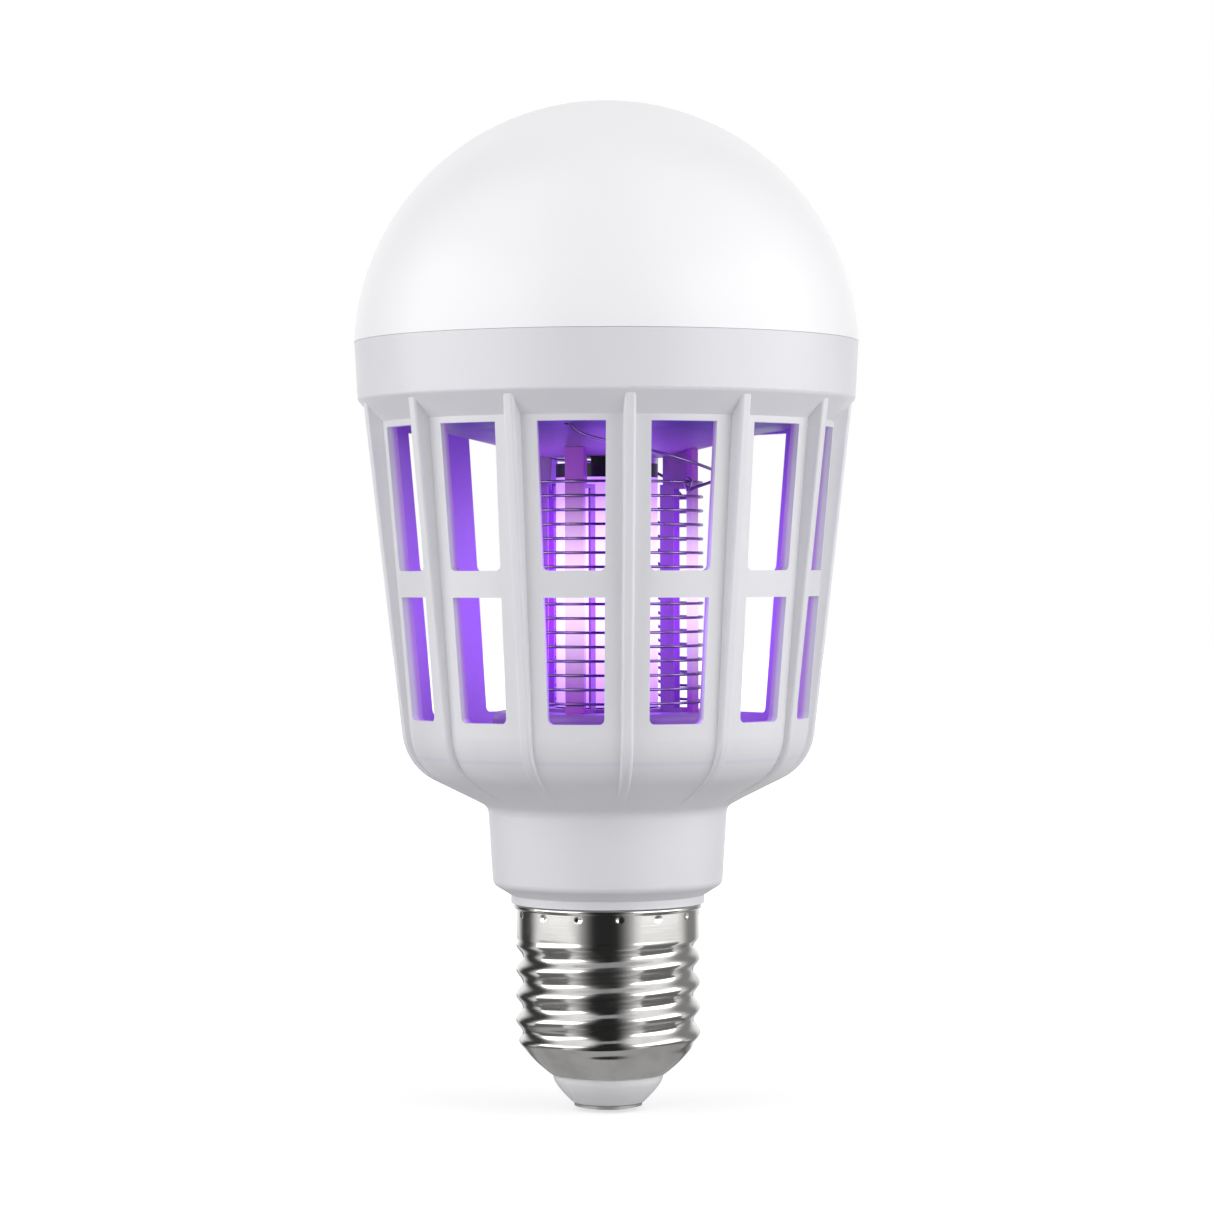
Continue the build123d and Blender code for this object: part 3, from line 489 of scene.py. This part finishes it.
def calc(tree, operation, first, second=0.0):
    """Output of one sum on two values."""
    return put(tree, "Math", {0: first, 1: second}, operation=operation).outputs[0]


def between(tree, value, low, high, to_low=0.0, to_high=1.0, kind="SMOOTHSTEP"):
    """Output that runs from one value to another as the input crosses a range."""
    made = put(tree, "MapRange", {
        "Value": value, "From Min": low, "From Max": high,
        "To Min": to_low, "To Max": to_high,
    }, interpolation_type=kind)
    return made.outputs["Result"]


def blend_colour(tree, share, first, second):
    """Output that mixes two colours by a share."""
    made = tree.nodes.new("ShaderNodeMix")
    made.data_type = "RGBA"
    feed(tree, made, "Factor", share)
    for key, value in (("A", first), ("B", second)):
        if not isinstance(value, bpy.types.NodeSocket):
            value = (*tuple(value)[:3], 1.0)
        socket = next(s for s in made.inputs if s.name == key and s.type == "RGBA")
        fill_socket(tree, socket, value)
    return next(s for s in made.outputs if s.type == "RGBA")


def met_by(tree, *kinds):
    """Output that is one where any of these kinds of ray meets the surface."""
    path = put(tree, "LightPath").outputs
    share = path[f"Is {kinds[0]} Ray"]
    for kind in kinds[1:]:
        share = calc(tree, "MAXIMUM", share, path[f"Is {kind} Ray"])
    return share


def tinted(colour, factor):
    """Colour made lighter or darker by a factor."""
    return tuple(min(1.0, part * factor) for part in tuple(colour)[:3])


def open_group(name, inputs, outputs):
    """New shader node group with named float inputs and outputs."""
    group = bpy.data.node_groups.new(name, "ShaderNodeTree")
    new_socket, kind = group.interface.new_socket, "NodeSocketFloat"
    for label, default in inputs.items():
        new_socket(label, in_out="INPUT", socket_type=kind).default_value = default
    for label in outputs:
        new_socket(label, in_out="OUTPUT", socket_type=kind)
    return group, group.nodes.new("NodeGroupInput"), group.nodes.new("NodeGroupOutput")


def object_noise(tree, size, detail, stretch=(1.0, 1.0, 1.0)):
    """Output of noise whose blobs have a size in metres, on Object coordinates."""
    spot = put(tree, "TexCoord").outputs["Object"]
    if stretch != (1.0, 1.0, 1.0):
        spot = put(tree, "Mapping", {"Vector": spot, "Scale": stretch}).outputs[0]
    scale = calc(tree, "DIVIDE", 1.0, size)
    made = put(tree, "TexNoise", {"Vector": spot, "Scale": scale, "Detail": detail})
    return made.outputs[0]


def axis_spot(tree):
    """Outputs of the distance from the axis and of the height, on Object coordinates."""
    spot = put(tree, "TexCoord").outputs["Object"]
    parts = put(tree, "SeparateXYZ", {0: spot}).outputs
    square = calc(tree, "ADD", calc(tree, "MULTIPLY", parts[0], parts[0]),
                  calc(tree, "MULTIPLY", parts[1], parts[1]))
    return calc(tree, "SQRT", square), parts[2]


def within(tree, value, low, high, soft):
    """Output that is one between two levels, with soft ends inside them."""
    rise = between(tree, value, low, calc(tree, "ADD", low, soft))
    fall = between(tree, value, calc(tree, "SUBTRACT", high, soft), high, 1.0, 0.0)
    return calc(tree, "MULTIPLY", rise, fall)


def mould_group():
    """Skin of a moulding: fine grain as a height, and slow mottling as a mask."""
    group, source, sink = open_group(
        "Mould skin", {"Grain size": 0.0004, "Mottle size": 0.012}, ("Grain", "Mottle"))
    grain = object_noise(group, source.outputs["Grain size"], 3.0)
    mottle = object_noise(group, source.outputs["Mottle size"], 2.0)
    feed(group, sink, "Grain", grain)
    feed(group, sink, "Mottle", between(group, mottle, 0.3, 0.7))
    return group


def handling_group():
    """Marks of handling on metal: fine rubbed lines as a height, smudges as a mask."""
    group, source, sink = open_group(
        "Handling marks", {"Line size": 0.0003, "Smudge size": 0.005}, ("Lines", "Smudges"))
    lines = object_noise(group, source.outputs["Line size"], 2.0, (0.06, 0.06, 1.0))
    smudges = object_noise(group, source.outputs["Smudge size"], 4.0)
    feed(group, sink, "Lines", lines)
    feed(group, sink, "Smudges", between(group, smudges, 0.42, 0.72))
    return group


def reach_group():
    """Reach of the tube's light: full at the near radius and gone at the far one,
    between a low and a high level, with soft ends."""
    group, source, sink = open_group("Tube light reach", {
        "Near": 0.0074, "Far": 0.02, "Low": TUBE_FOOT, "High": TUBE_TOP, "Softness": 0.008,
    }, ("Reach", "Level"))
    near, far, low, high, soft = source.outputs[:5]
    radius, height = axis_spot(group)
    radial = between(group, radius, near, far, 1.0, 0.0, "LINEAR")
    level = within(group, height, low, high, soft)
    feed(group, sink, "Reach", calc(group, "MULTIPLY", radial, level))
    feed(group, sink, "Level", level)
    return group


def trace_group():
    """Copper under a board's mask: rectangular lands, as a mask or a height."""
    group, source, sink = open_group("Board lands", {"Land size": 0.004}, ("Lands",))
    spot = put(group, "TexCoord").outputs["Object"]
    scale = calc(group, "DIVIDE", 1.0, source.outputs["Land size"])
    cells = put(group, "TexVoronoi", {"Vector": spot, "Scale": scale},
                distance="CHEBYCHEV", feature="F1").outputs["Distance"]
    lands = between(group, cells, 0.34, 0.38, 1.0, 0.0, "LINEAR")
    feed(group, sink, "Lands", lands)
    return group


def painted_violet_group():
    """Mask of the cage's inner skin, where the tube's violet light is painted into the colour:
    one where the distance from the axis is less than the cage's outer radius at that height
    less a part of the wall."""
    group, source, sink = open_group("Cage lining", {
        "Foot radius": 0.02722, "Foot height": 0.0498, "Taper": 0.0866,
        "Low": 0.0506, "High": 0.1015, "Edge": 0.0008,
    }, ("Inside",))
    foot_radius, foot_height, taper, low, high, edge = source.outputs[:6]
    radius, height = axis_spot(group)
    limit = calc(group, "MULTIPLY", calc(group, "SUBTRACT", height, foot_height), taper)
    limit = calc(group, "ADD", limit, foot_radius)
    inside = between(group, radius, limit, calc(group, "ADD", limit, edge), 1.0, 0.0)
    level = within(group, height, low, high, edge)
    feed(group, sink, "Inside", calc(group, "MULTIPLY", inside, level))
    return group


GROUP_MAKERS = {
    "mould": mould_group, "handling": handling_group, "lining": painted_violet_group,
    "reach": reach_group, "lands": trace_group,
}
groups = {}


def use_group(tree, key, **values):
    """A shared group placed in a material with its own values."""
    if key not in groups:
        groups[key] = GROUP_MAKERS[key]()
    made = tree.nodes.new("ShaderNodeGroup")
    made.node_tree = groups[key]
    for label, value in values.items():
        feed(tree, made, label.replace("_", " "), value)
    return made.outputs


def open_material(name, **constants):
    """New material with one Principled shader whose plain values are set on it."""
    material = bpy.data.materials.new(name)
    material.use_nodes = True
    tree = material.node_tree
    tree.nodes.clear()
    shader = tree.nodes.new("ShaderNodeBsdfPrincipled")
    output = tree.nodes.new("ShaderNodeOutputMaterial")
    tree.links.new(shader.outputs[0], output.inputs["Surface"])
    for key, value in constants.items():
        shader.inputs[key.replace("_", " ")].default_value = value
    return material, tree, shader


def reopen(material):
    """Tree of a material that is being changed, and its Principled shader."""
    tree = material.node_tree
    return tree, tree.nodes["Principled BSDF"]


def bump(tree, shader, height, distance, strength=0.5):
    """Bump on a shader from a height, with a distance in metres."""
    made = put(tree, "Bump", {"Height": height, "Distance": distance, "Strength": strength})
    feed(tree, shader, "Normal", made.outputs[0])


# Finishes


def moulded_plastic(
        name, colour, rough, grain=0.0004, depth=0.00002, mottle=0.03, uneven=0.12, **more):
    """Plastic from a polished or etched mould: mottled colour, uneven gloss, fine grain."""
    material, tree, shader = open_material(name, **more)
    skin = use_group(tree, "mould", Grain_size=grain)
    feed(tree, shader, "Base Color", blend_colour(
        tree, skin["Mottle"], tinted(colour, 1 - mottle), tinted(colour, 1 + mottle)))
    feed(tree, shader, "Roughness", between(
        tree, skin["Mottle"], 0, 1, rough * (1 - uneven), rough * (1 + uneven)))
    bump(tree, shader, skin["Grain"], depth)
    return material


def violet_painted_plastic(name, colour, inner, rough, **more):
    """Plastic like the moulded one whose inner skin, from just inside the wall's outer face
    inwards, takes a violet tint: painted light of the tube on it."""
    material = moulded_plastic(name, colour, rough, **more)
    tree, shader = reopen(material)
    outer_tone = shader.inputs["Base Color"].links[0].from_socket
    inside = use_group(tree, "lining")["Inside"]
    feed(tree, shader, "Base Color", blend_colour(tree, inside, outer_tone, inner))
    return material


def paint_shade_outwards(material, outer, near, far):
    """Turns a material's base colour into an outer one between two radii: painted shade,
    darker away from the tube where its light falls off.
    """
    tree, shader = reopen(material)
    inner_tone = shader.inputs["Base Color"].links[0].from_socket
    reach = use_group(tree, "reach", Near=near, Far=far, Low=0.03, High=0.12)["Reach"]
    feed(tree, shader, "Base Color", blend_colour(tree, reach, outer, inner_tone))


def glowing_plastic(
        name, colour, rough, glow, strength, near, far, low, high, soft, **more):
    """Moulding that emits within a radius and between two levels: a painted glow on a part
    that is no lamp, or a diode's own light.
    """
    material = moulded_plastic(name, colour, rough, **more)
    tree, shader = reopen(material)
    reach = use_group(tree, "reach", Near=near, Far=far, Low=low, High=high, Softness=soft)
    feed(tree, shader, "Emission Color",
         blend_colour(tree, reach["Reach"], (0, 0, 0), tuple(glow)))
    shader.inputs["Emission Strength"].default_value = strength
    return material


def lit_tube(name, colours):
    """Lit ultraviolet tube: dimmer and more violet at its ends, and seen paler than the
    light that it throws, as a bright lamp is in a photograph."""
    strength = colours.glow_strength
    material, tree, shader = open_material(
        name, Roughness=0.25, Emission_Strength=strength, Coat_Weight=0.3)
    skin = use_group(tree, "mould", Grain_size=0.0006, Mottle_size=0.004)
    feed(tree, shader, "Base Color", blend_colour(
        tree, skin["Mottle"], (0.6, 0.45, 0.8), (0.7, 0.55, 0.9)))
    level = use_group(tree, "reach", Near=0.008, Far=0.009, Softness=0.012)["Level"]
    seen = blend_colour(tree, level, tinted((0.50, 0.22, 0.95), 1 / strength),
                        tinted(colours.tube, 1 / strength))
    thrown = blend_colour(tree, level, tinted(colours.glow, 0.35), tuple(colours.glow))
    looked_at = met_by(tree, "Camera", "Transmission")
    feed(tree, shader, "Emission Color", blend_colour(tree, looked_at, thrown, seen))
    return material


def metal(name, colour, rough, line=0.0003, smudge=0.005, depth=0.000006, dull=0.12):
    """Bare or plated metal: rubbed lines, smudges that dull it, and slightly uneven tone."""
    material, tree, shader = open_material(name, Metallic=1.0)
    marks = use_group(tree, "handling", Line_size=line, Smudge_size=smudge)
    feed(tree, shader, "Base Color", blend_colour(
        tree, marks["Smudges"], tuple(colour), tinted(colour, 0.86)))
    feed(tree, shader, "Roughness", between(
        tree, marks["Smudges"], 0, 1, rough, rough + dull))
    bump(tree, shader, marks["Lines"], depth)
    return material


def masked_board(name, colour, land, rough=0.3):
    """Circuit board: solder mask, paler over the copper lands, which stand proud."""
    material, tree, shader = open_material(name, Coat_Weight=0.2)
    lands = use_group(tree, "lands", Land_size=0.003)
    feed(tree, shader, "Base Color", blend_colour(tree, lands["Lands"], colour, land))
    feed(tree, shader, "Roughness", between(tree, lands["Lands"], 0, 1, rough, rough + 0.1))
    bump(tree, shader, lands["Lands"], 0.00004)
    return material


def dress(names, material):
    """Gives CAD nodes one material by their slots."""
    for name in names:
        for slot in nodes[name].material_slots:
            slot.material = material


def stand_for(piece, node, material):
    """A new piece takes a CAD node's place, body and slot."""
    piece.data.materials.append(material)
    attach(piece, "root")
    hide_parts(node)


# Stage


def flat_panel(name, corners, material):
    """Stage panel between four corners, in metres."""
    panel = lay_mesh(name, np.array(corners, dtype=float), np.array([[0, 1, 2, 3]]))
    panel.data.materials.append(material)
    return panel


def show_level(tree, shader, level):
    """Adds a grey of some level to what a matt surface shows."""
    feed(tree, shader, "Emission Color", put(
        tree, "CombineColor", {0: level, 1: level, 2: level}).outputs[0])
    feed(tree, shader, "Emission Strength", 1.0)


def floor_material():
    """Pale floor. What it shows of the lamps keeps the shadow. A camera ray meets
    added white all over. A glossy or transmission ray meets a dark floor, with a pale
    patch under the cap and white that grows with the distance from it."""
    material, tree, shader = open_material(
        "Pale floor", Roughness=0.9, Specular_IOR_Level=0.0)
    pale = blend_colour(tree, object_noise(tree, 0.2, 2.0), (0.51,) * 3, (0.53,) * 3)
    spot = put(tree, "TexCoord").outputs["Object"]
    away = put(tree, "VectorMath", {0: spot}, operation="LENGTH").outputs["Value"]
    seen_white = between(tree, away, 0.05, 0.45, 0.62, 1.0)
    mirrored_white = calc(tree, "ADD", between(tree, away, 0.032, 0.4),
                          between(tree, away, 0.0185, 0.025, 0.26, 0.0))
    mirrored = met_by(tree, "Glossy", "Transmission")
    feed(tree, shader, "Base Color", blend_colour(tree, mirrored, pale, (0.2,) * 3))
    show_level(tree, shader, calc(
        tree, "ADD", calc(tree, "MULTIPLY", seen_white, met_by(tree, "Camera")),
        calc(tree, "MULTIPLY", mirrored_white, mirrored)))
    return material


def white_world(level):
    """World that is white where it is looked at, mirrored or seen through, and a soft
    light elsewhere."""
    world = bpy.data.worlds.new("Soft studio")
    bpy.context.scene.world = world
    world.use_nodes = True
    tree = world.node_tree
    tree.nodes.clear()
    seen = met_by(tree, "Camera", "Glossy", "Transmission")
    strength = between(tree, seen, 0, 1, level, 1.0, "LINEAR")
    colour = blend_colour(tree, seen, (0.97, 0.97, 1.0), (1.0, 1.0, 1.0))
    back = put(tree, "Background", {"Color": colour, "Strength": strength})
    output = tree.nodes.new("ShaderNodeOutputWorld")
    tree.links.new(back.outputs[0], output.inputs["Surface"])


def place_about(azimuth, distance, height):
    """Spot in metres at an azimuth in degrees round the lamp, where 0 is on -Y."""
    turn = math.radians(azimuth)
    return (distance * math.sin(turn), -distance * math.cos(turn), height)


def aim(thing, spot, target):
    """Puts an object at a spot with its -Z axis towards a target and its Y axis up."""
    thing.location = spot
    way = Vector(target) - Vector(spot)
    thing.rotation_euler = way.to_track_quat("-Z", "Y").to_euler()


def soft_lamp(name, spot, target, size, power):
    """Rectangular soft lamp that faces a target."""
    data = bpy.data.lights.new(name, "AREA")
    data.shape = "RECTANGLE"
    data.size, data.size_y = size
    data.energy = power
    lamp = bpy.data.objects.new(name, data)
    bpy.context.scene.collection.objects.link(lamp)
    aim(lamp, spot, target)
    return lamp


def dark_card(name, azimuth, half_width, darkest, near=0.03):
    """Dark card that only mirrors show, as a studio sets up beside polished metal: it
    lies on the floor, stands up at its far end and comes back overhead. It grows paler
    towards its sides, where the distance aside over the distance ahead nears the
    tangent of the half width. The width is in degrees and the rest in metres."""
    far, low, high, palest = 0.9, 0.0005, 1.7, 0.9
    material, tree, shader = open_material(
        "Dark card " + name, Roughness=0.9, Specular_IOR_Level=0.0)
    feed(tree, shader, "Base Color", blend_colour(
        tree, object_noise(tree, 0.3, 2.0), (0.02,) * 3, (0.03,) * 3))
    spot = put(tree, "TexCoord").outputs["Object"]
    ahead, beside = (
        put(tree, "VectorMath", {0: spot, 1: place_about(azimuth + turn, 1, 0)},
            operation="DOT_PRODUCT").outputs["Value"] for turn in (0, 90))
    slant = calc(tree, "ABSOLUTE", calc(tree, "DIVIDE", beside, ahead))
    edge = math.tan(math.radians(half_width))
    show_level(tree, shader, between(tree, slant, 0.2 * edge, edge, darkest, palest))
    left, right = azimuth - half_width, azimuth + half_width
    for part, inner, inner_z, outer, outer_z in (
            ("_lying", near, low, far, low), ("_standing", far, low, far, high),
            ("_overhead", far, high, near, high)):
        card = flat_panel(name + part, [
            place_about(left, inner, inner_z), place_about(right, inner, inner_z),
            place_about(right, outer, outer_z), place_about(left, outer, outer_z),
        ], material)
        card.visible_camera = card.visible_diffuse = card.visible_shadow = False
        card.visible_transmission = False


# Operators


class LAMP_OT_roll_shell(bpy.types.Operator):
    """Roll the threaded, crimped screw shell and finish the foot of the cap"""

    bl_idname = "lamp.roll_shell"
    bl_label = "Roll screw shell"

    def execute(self, context):
        cap, colours = context.scene.lamp_cap, context.scene.lamp_colours
        nickel = metal("Nickel plate", colours.nickel, rough=0.13, dull=0.1)
        stand_for(roll_shell(cap), "screw_shell", nickel)
        dress(["centre_contact"], metal("Tinned contact", (0.6, 0.59, 0.57), rough=0.28))
        stand_for(press_insulator(), "cap_insulator", moulded_plastic(
            "White insulator", (0.86, 0.86, 0.875), rough=0.3, mottle=0.015, Coat_Weight=0.25))
        return {"FINISHED"}


class LAMP_OT_wind_grid(bpy.types.Operator):
    """Wind the two wires of the grid and lay their leads"""

    bl_idname = "lamp.wind_grid"
    bl_label = "Wind wire grid"

    def execute(self, context):
        grid = context.scene.lamp_grid
        # The steel's colour is tinted violet and darkened: painted reflection of the
        # violet-lit inside and the dark surroundings.
        steel = metal("Bare steel wire", (0.31, 0.21, 0.40), rough=0.24, line=0.0002)
        radius = grid.wire_radius
        for name, first_ring, cut in (("grid_wire_a", 1, 30), ("grid_wire_b", 0, 0)):
            path = coil_path(grid, first_ring, cut)
            stand_for(wire_piece("wound_" + name, path, radius, sides=10), name, steel)
        for name, spots in LEAD_SPOTS.items():
            lead = wire_piece("bent_" + name, lead_path(spots), radius, sides=12)
            stand_for(lead, name, steel)
        return {"FINISHED"}


class LAMP_OT_finish_housing(bpy.types.Operator):
    """Finish the cage, the dome and the mouldings inside the cage"""

    bl_idname = "lamp.finish_housing"
    bl_label = "Finish housing and dome"

    def execute(self, context):
        colours = context.scene.lamp_colours
        # The cage's inner skin is painted violet: painted light of the tube.
        dress(["cage_housing"], violet_painted_plastic(
            "Satin white moulding", colours.housing, inner=(0.62, 0.34, 0.85), rough=0.38,
            mottle=0.006))
        # The cover's faint white emission is a painted glow that lifts its brightness evenly;
        # the cover is no lamp.
        dress(["diffuser_dome"], glowing_plastic(
            "Frosted cover", colours.dome, rough=0.34, glow=(1.0, 1.0, 1.0), strength=0.07,
            near=0.05, far=0.06, low=0.05, high=0.142, soft=0.03,
            grain=0.0003, depth=0.00001, mottle=0.002, uneven=0.01,
            Coat_Weight=0.12, Coat_Roughness=0.27, Specular_IOR_Level=0.3))
        # The deck's white is painted violet near the tube and dark navy further out: painted
        # light and painted shade.
        deck = moulded_plastic(
            "Inner white moulding", colours.lining, rough=0.42, mottle=0.02)
        paint_shade_outwards(deck, (0.12, 0.07, 0.34), near=0.012, far=0.025)
        dress(["upper_deck"], deck)
        # The pedestal's white moulding is painted dark violet: painted light of the tube and
        # painted shade.
        dress(["grid_base"], moulded_plastic(
            "Pedestal moulding", (0.36, 0.18, 0.52), rough=0.42, mottle=0.02))
        # The fins are painted white near the tube and violet further out, with a pale
        # emission: painted light through them and painted shade away from the tube.
        fins = glowing_plastic(
            "Translucent fins", (0.9, 0.85, 0.95), rough=0.35,
            glow=(1.0, 0.82, 0.86), strength=1.3,
            near=0.0123, far=0.0118, low=0.0575, high=0.0915, soft=0.022)
        paint_shade_outwards(fins, (0.36, 0.15, 0.46), near=0.0085, far=0.0086)
        paint_shade_outwards(fins, (0.44, 0.05, 0.60), near=0.0119, far=0.0121)
        stand_for(mould_fins(context.scene.lamp_grid), "grid_frame", fins)
        return {"FINISHED"}


class LAMP_OT_light_tube(bpy.types.Operator):
    """Light the ultraviolet tube and finish its caps, sleeve, boards and diodes"""

    bl_idname = "lamp.light_tube"
    bl_label = "Light ultraviolet tube"

    def execute(self, context):
        colours = context.scene.lamp_colours
        dress(["uv_tube"], lit_tube("Lit violet tube", colours))
        dress(["tube_top_cap", "tube_bottom_cap"], moulded_plastic(
            "Black moulding", (0.018, 0.015, 0.024), rough=0.4, mottle=0.2))
        dress(["cable_sleeve"], moulded_plastic(
            "Black sleeve", (0.025, 0.022, 0.03), rough=0.6, grain=0.0008, mottle=0.2))
        dress(["uv_boards"], masked_board(
            "White board mask", (0.78, 0.78, 0.76), (0.84, 0.84, 0.82)))
        dress(["uv_led_chips"], glowing_plastic(
            "Violet diode", (0.7, 0.5, 0.9), rough=0.2, glow=colours.glow, strength=4.0,
            near=0.03, far=0.04, low=0.05, high=0.1, soft=0.002))
        return {"FINISHED"}


class LAMP_OT_finish_boards(bpy.types.Operator):
    """Finish the lighting board, the supply boards and what is soldered to them"""

    bl_idname = "lamp.finish_boards"
    bl_label = "Finish boards"

    def execute(self, context):
        dress(["led_board"], masked_board(
            "White board on aluminium", (0.82, 0.82, 0.80), (0.88, 0.88, 0.86)))
        dress(["hv_board", "driver_board"], masked_board(
            "Green board", (0.02, 0.10, 0.035), (0.04, 0.18, 0.06)))
        dress(["led_chips"], moulded_plastic(
            "Yellow phosphor", (0.90, 0.72, 0.22), rough=0.35, mottle=0.06))
        dress(["led_board_screws"], metal("Zinc plate", (0.60, 0.61, 0.63), rough=0.3))
        dress(["hv_capacitors"], moulded_plastic(
            "Blue dipped coat", (0.03, 0.12, 0.45), rough=0.25, grain=0.0015, depth=0.00008))
        dress(["hv_diodes", "bridge_rectifier"], moulded_plastic(
            "Black epoxy", (0.02, 0.02, 0.022), rough=0.45, mottle=0.15))
        dress(["bulk_capacitor"], moulded_plastic(
            "Dark sleeve", (0.02, 0.02, 0.035), rough=0.25, mottle=0.1, Coat_Weight=0.3))
        dress(["driver_choke"], moulded_plastic(
            "Ferrite", (0.05, 0.045, 0.045), rough=0.55,
            grain=0.0006, depth=0.00006, mottle=0.2))
        dress(["driver_resistors"], moulded_plastic(
            "Tan lacquer", (0.50, 0.36, 0.18), rough=0.3, mottle=0.08))
        dress(["shell_lead"], moulded_plastic(
            "Red insulation", (0.45, 0.02, 0.015), rough=0.4))
        dress(["contact_lead"], moulded_plastic(
            "Black insulation", (0.02, 0.02, 0.02), rough=0.4))
        return {"FINISHED"}


class LAMP_OT_set_stage(bpy.types.Operator):
    """Set the floor, the world, the lamps, the dark cards and the camera"""

    bl_idname = "lamp.set_stage"
    bl_label = "Set studio stage"

    def execute(self, context):
        scene, studio = context.scene, context.scene.lamp_studio
        reach, middle, ahead = 3.0, (0, 0, 0.08), math.degrees(studio.azimuth)
        flat_panel("pale_floor", [
            (-reach, -reach, 0), (reach, -reach, 0), (reach, reach, 0), (-reach, reach, 0),
        ], floor_material())
        white_world(studio.world_level)
        for name, side, share in (("left_lamp", -67, 0.9), ("right_lamp", 67, 1.0)):
            spot = place_about(ahead + side, distance=0.62, height=0.16)
            soft_lamp(name, spot, middle, (0.85, 0.7), studio.side_power * share)
        over = soft_lamp("top_lamp", (0, -0.1, 0.75), middle, (0.6, 0.6), studio.top_power)
        over.visible_glossy = False
        dark_card("front_card", ahead - 3, half_width=46, darkest=0.0, near=0.0195)
        dark_card("left_card", ahead - 124, half_width=30, darkest=0.03)
        dark_card("right_card", ahead + 128, half_width=30, darkest=0.24)
        data = bpy.data.cameras.new("camera")
        data.lens, data.sensor_width, data.shift_y = studio.lens, 36, studio.shift
        data.clip_start, data.clip_end = 0.01, 20
        camera = bpy.data.objects.new("camera", data)
        scene.collection.objects.link(camera)
        spot = place_about(ahead, studio.distance, studio.height)
        aim(camera, spot, (0, 0, studio.height))
        camera.rotation_euler.rotate_axis("Z", studio.roll)
        scene.camera = camera
        scene.view_settings.view_transform = "Standard"
        return {"FINISHED"}


class LAMP_PT_panel(bpy.types.Panel):
    """Lists the lamp's operators and their values in the sidebar."""

    bl_idname = "LAMP_PT_panel"
    bl_label = "Insect Lamp"
    bl_space_type = "VIEW_3D"
    bl_region_type = "UI"
    bl_category = "Insect Lamp"

    def draw(self, context):
        scene = context.scene
        for operator in OPERATORS:
            self.layout.operator(operator.bl_idname)
        for name in SETTINGS:
            values, box = getattr(scene, name), self.layout.box()
            for key in values.__annotations__:
                box.prop(values, key)


SETTINGS = {
    "lamp_cap": CapSizes, "lamp_grid": GridSizes,
    "lamp_colours": FinishColours, "lamp_studio": StudioSetup,
}
OPERATORS = (
    LAMP_OT_roll_shell, LAMP_OT_wind_grid, LAMP_OT_finish_housing,
    LAMP_OT_light_tube, LAMP_OT_finish_boards, LAMP_OT_set_stage,
)


def register():
    """Registers the settings, the operators and the panel."""
    for values in SETTINGS.values():
        bpy.utils.register_class(values)
    for name, values in SETTINGS.items():
        setattr(bpy.types.Scene, name, bpy.props.PointerProperty(type=values))
    for operator in OPERATORS:
        bpy.utils.register_class(operator)
    bpy.utils.register_class(LAMP_PT_panel)


def unregister():
    """Takes back what register does, in the opposite order."""
    bpy.utils.unregister_class(LAMP_PT_panel)
    for operator in reversed(OPERATORS):
        bpy.utils.unregister_class(operator)
    for name in SETTINGS:
        delattr(bpy.types.Scene, name)
    for values in reversed(SETTINGS.values()):
        bpy.utils.unregister_class(values)


def main():
    """Makes the model and its stage."""
    register()
    bpy.ops.lamp.roll_shell()
    bpy.ops.lamp.wind_grid()
    bpy.ops.lamp.finish_housing()
    bpy.ops.lamp.light_tube()
    bpy.ops.lamp.finish_boards()
    bpy.ops.lamp.set_stage()


if __name__ == "__main__":
    main()
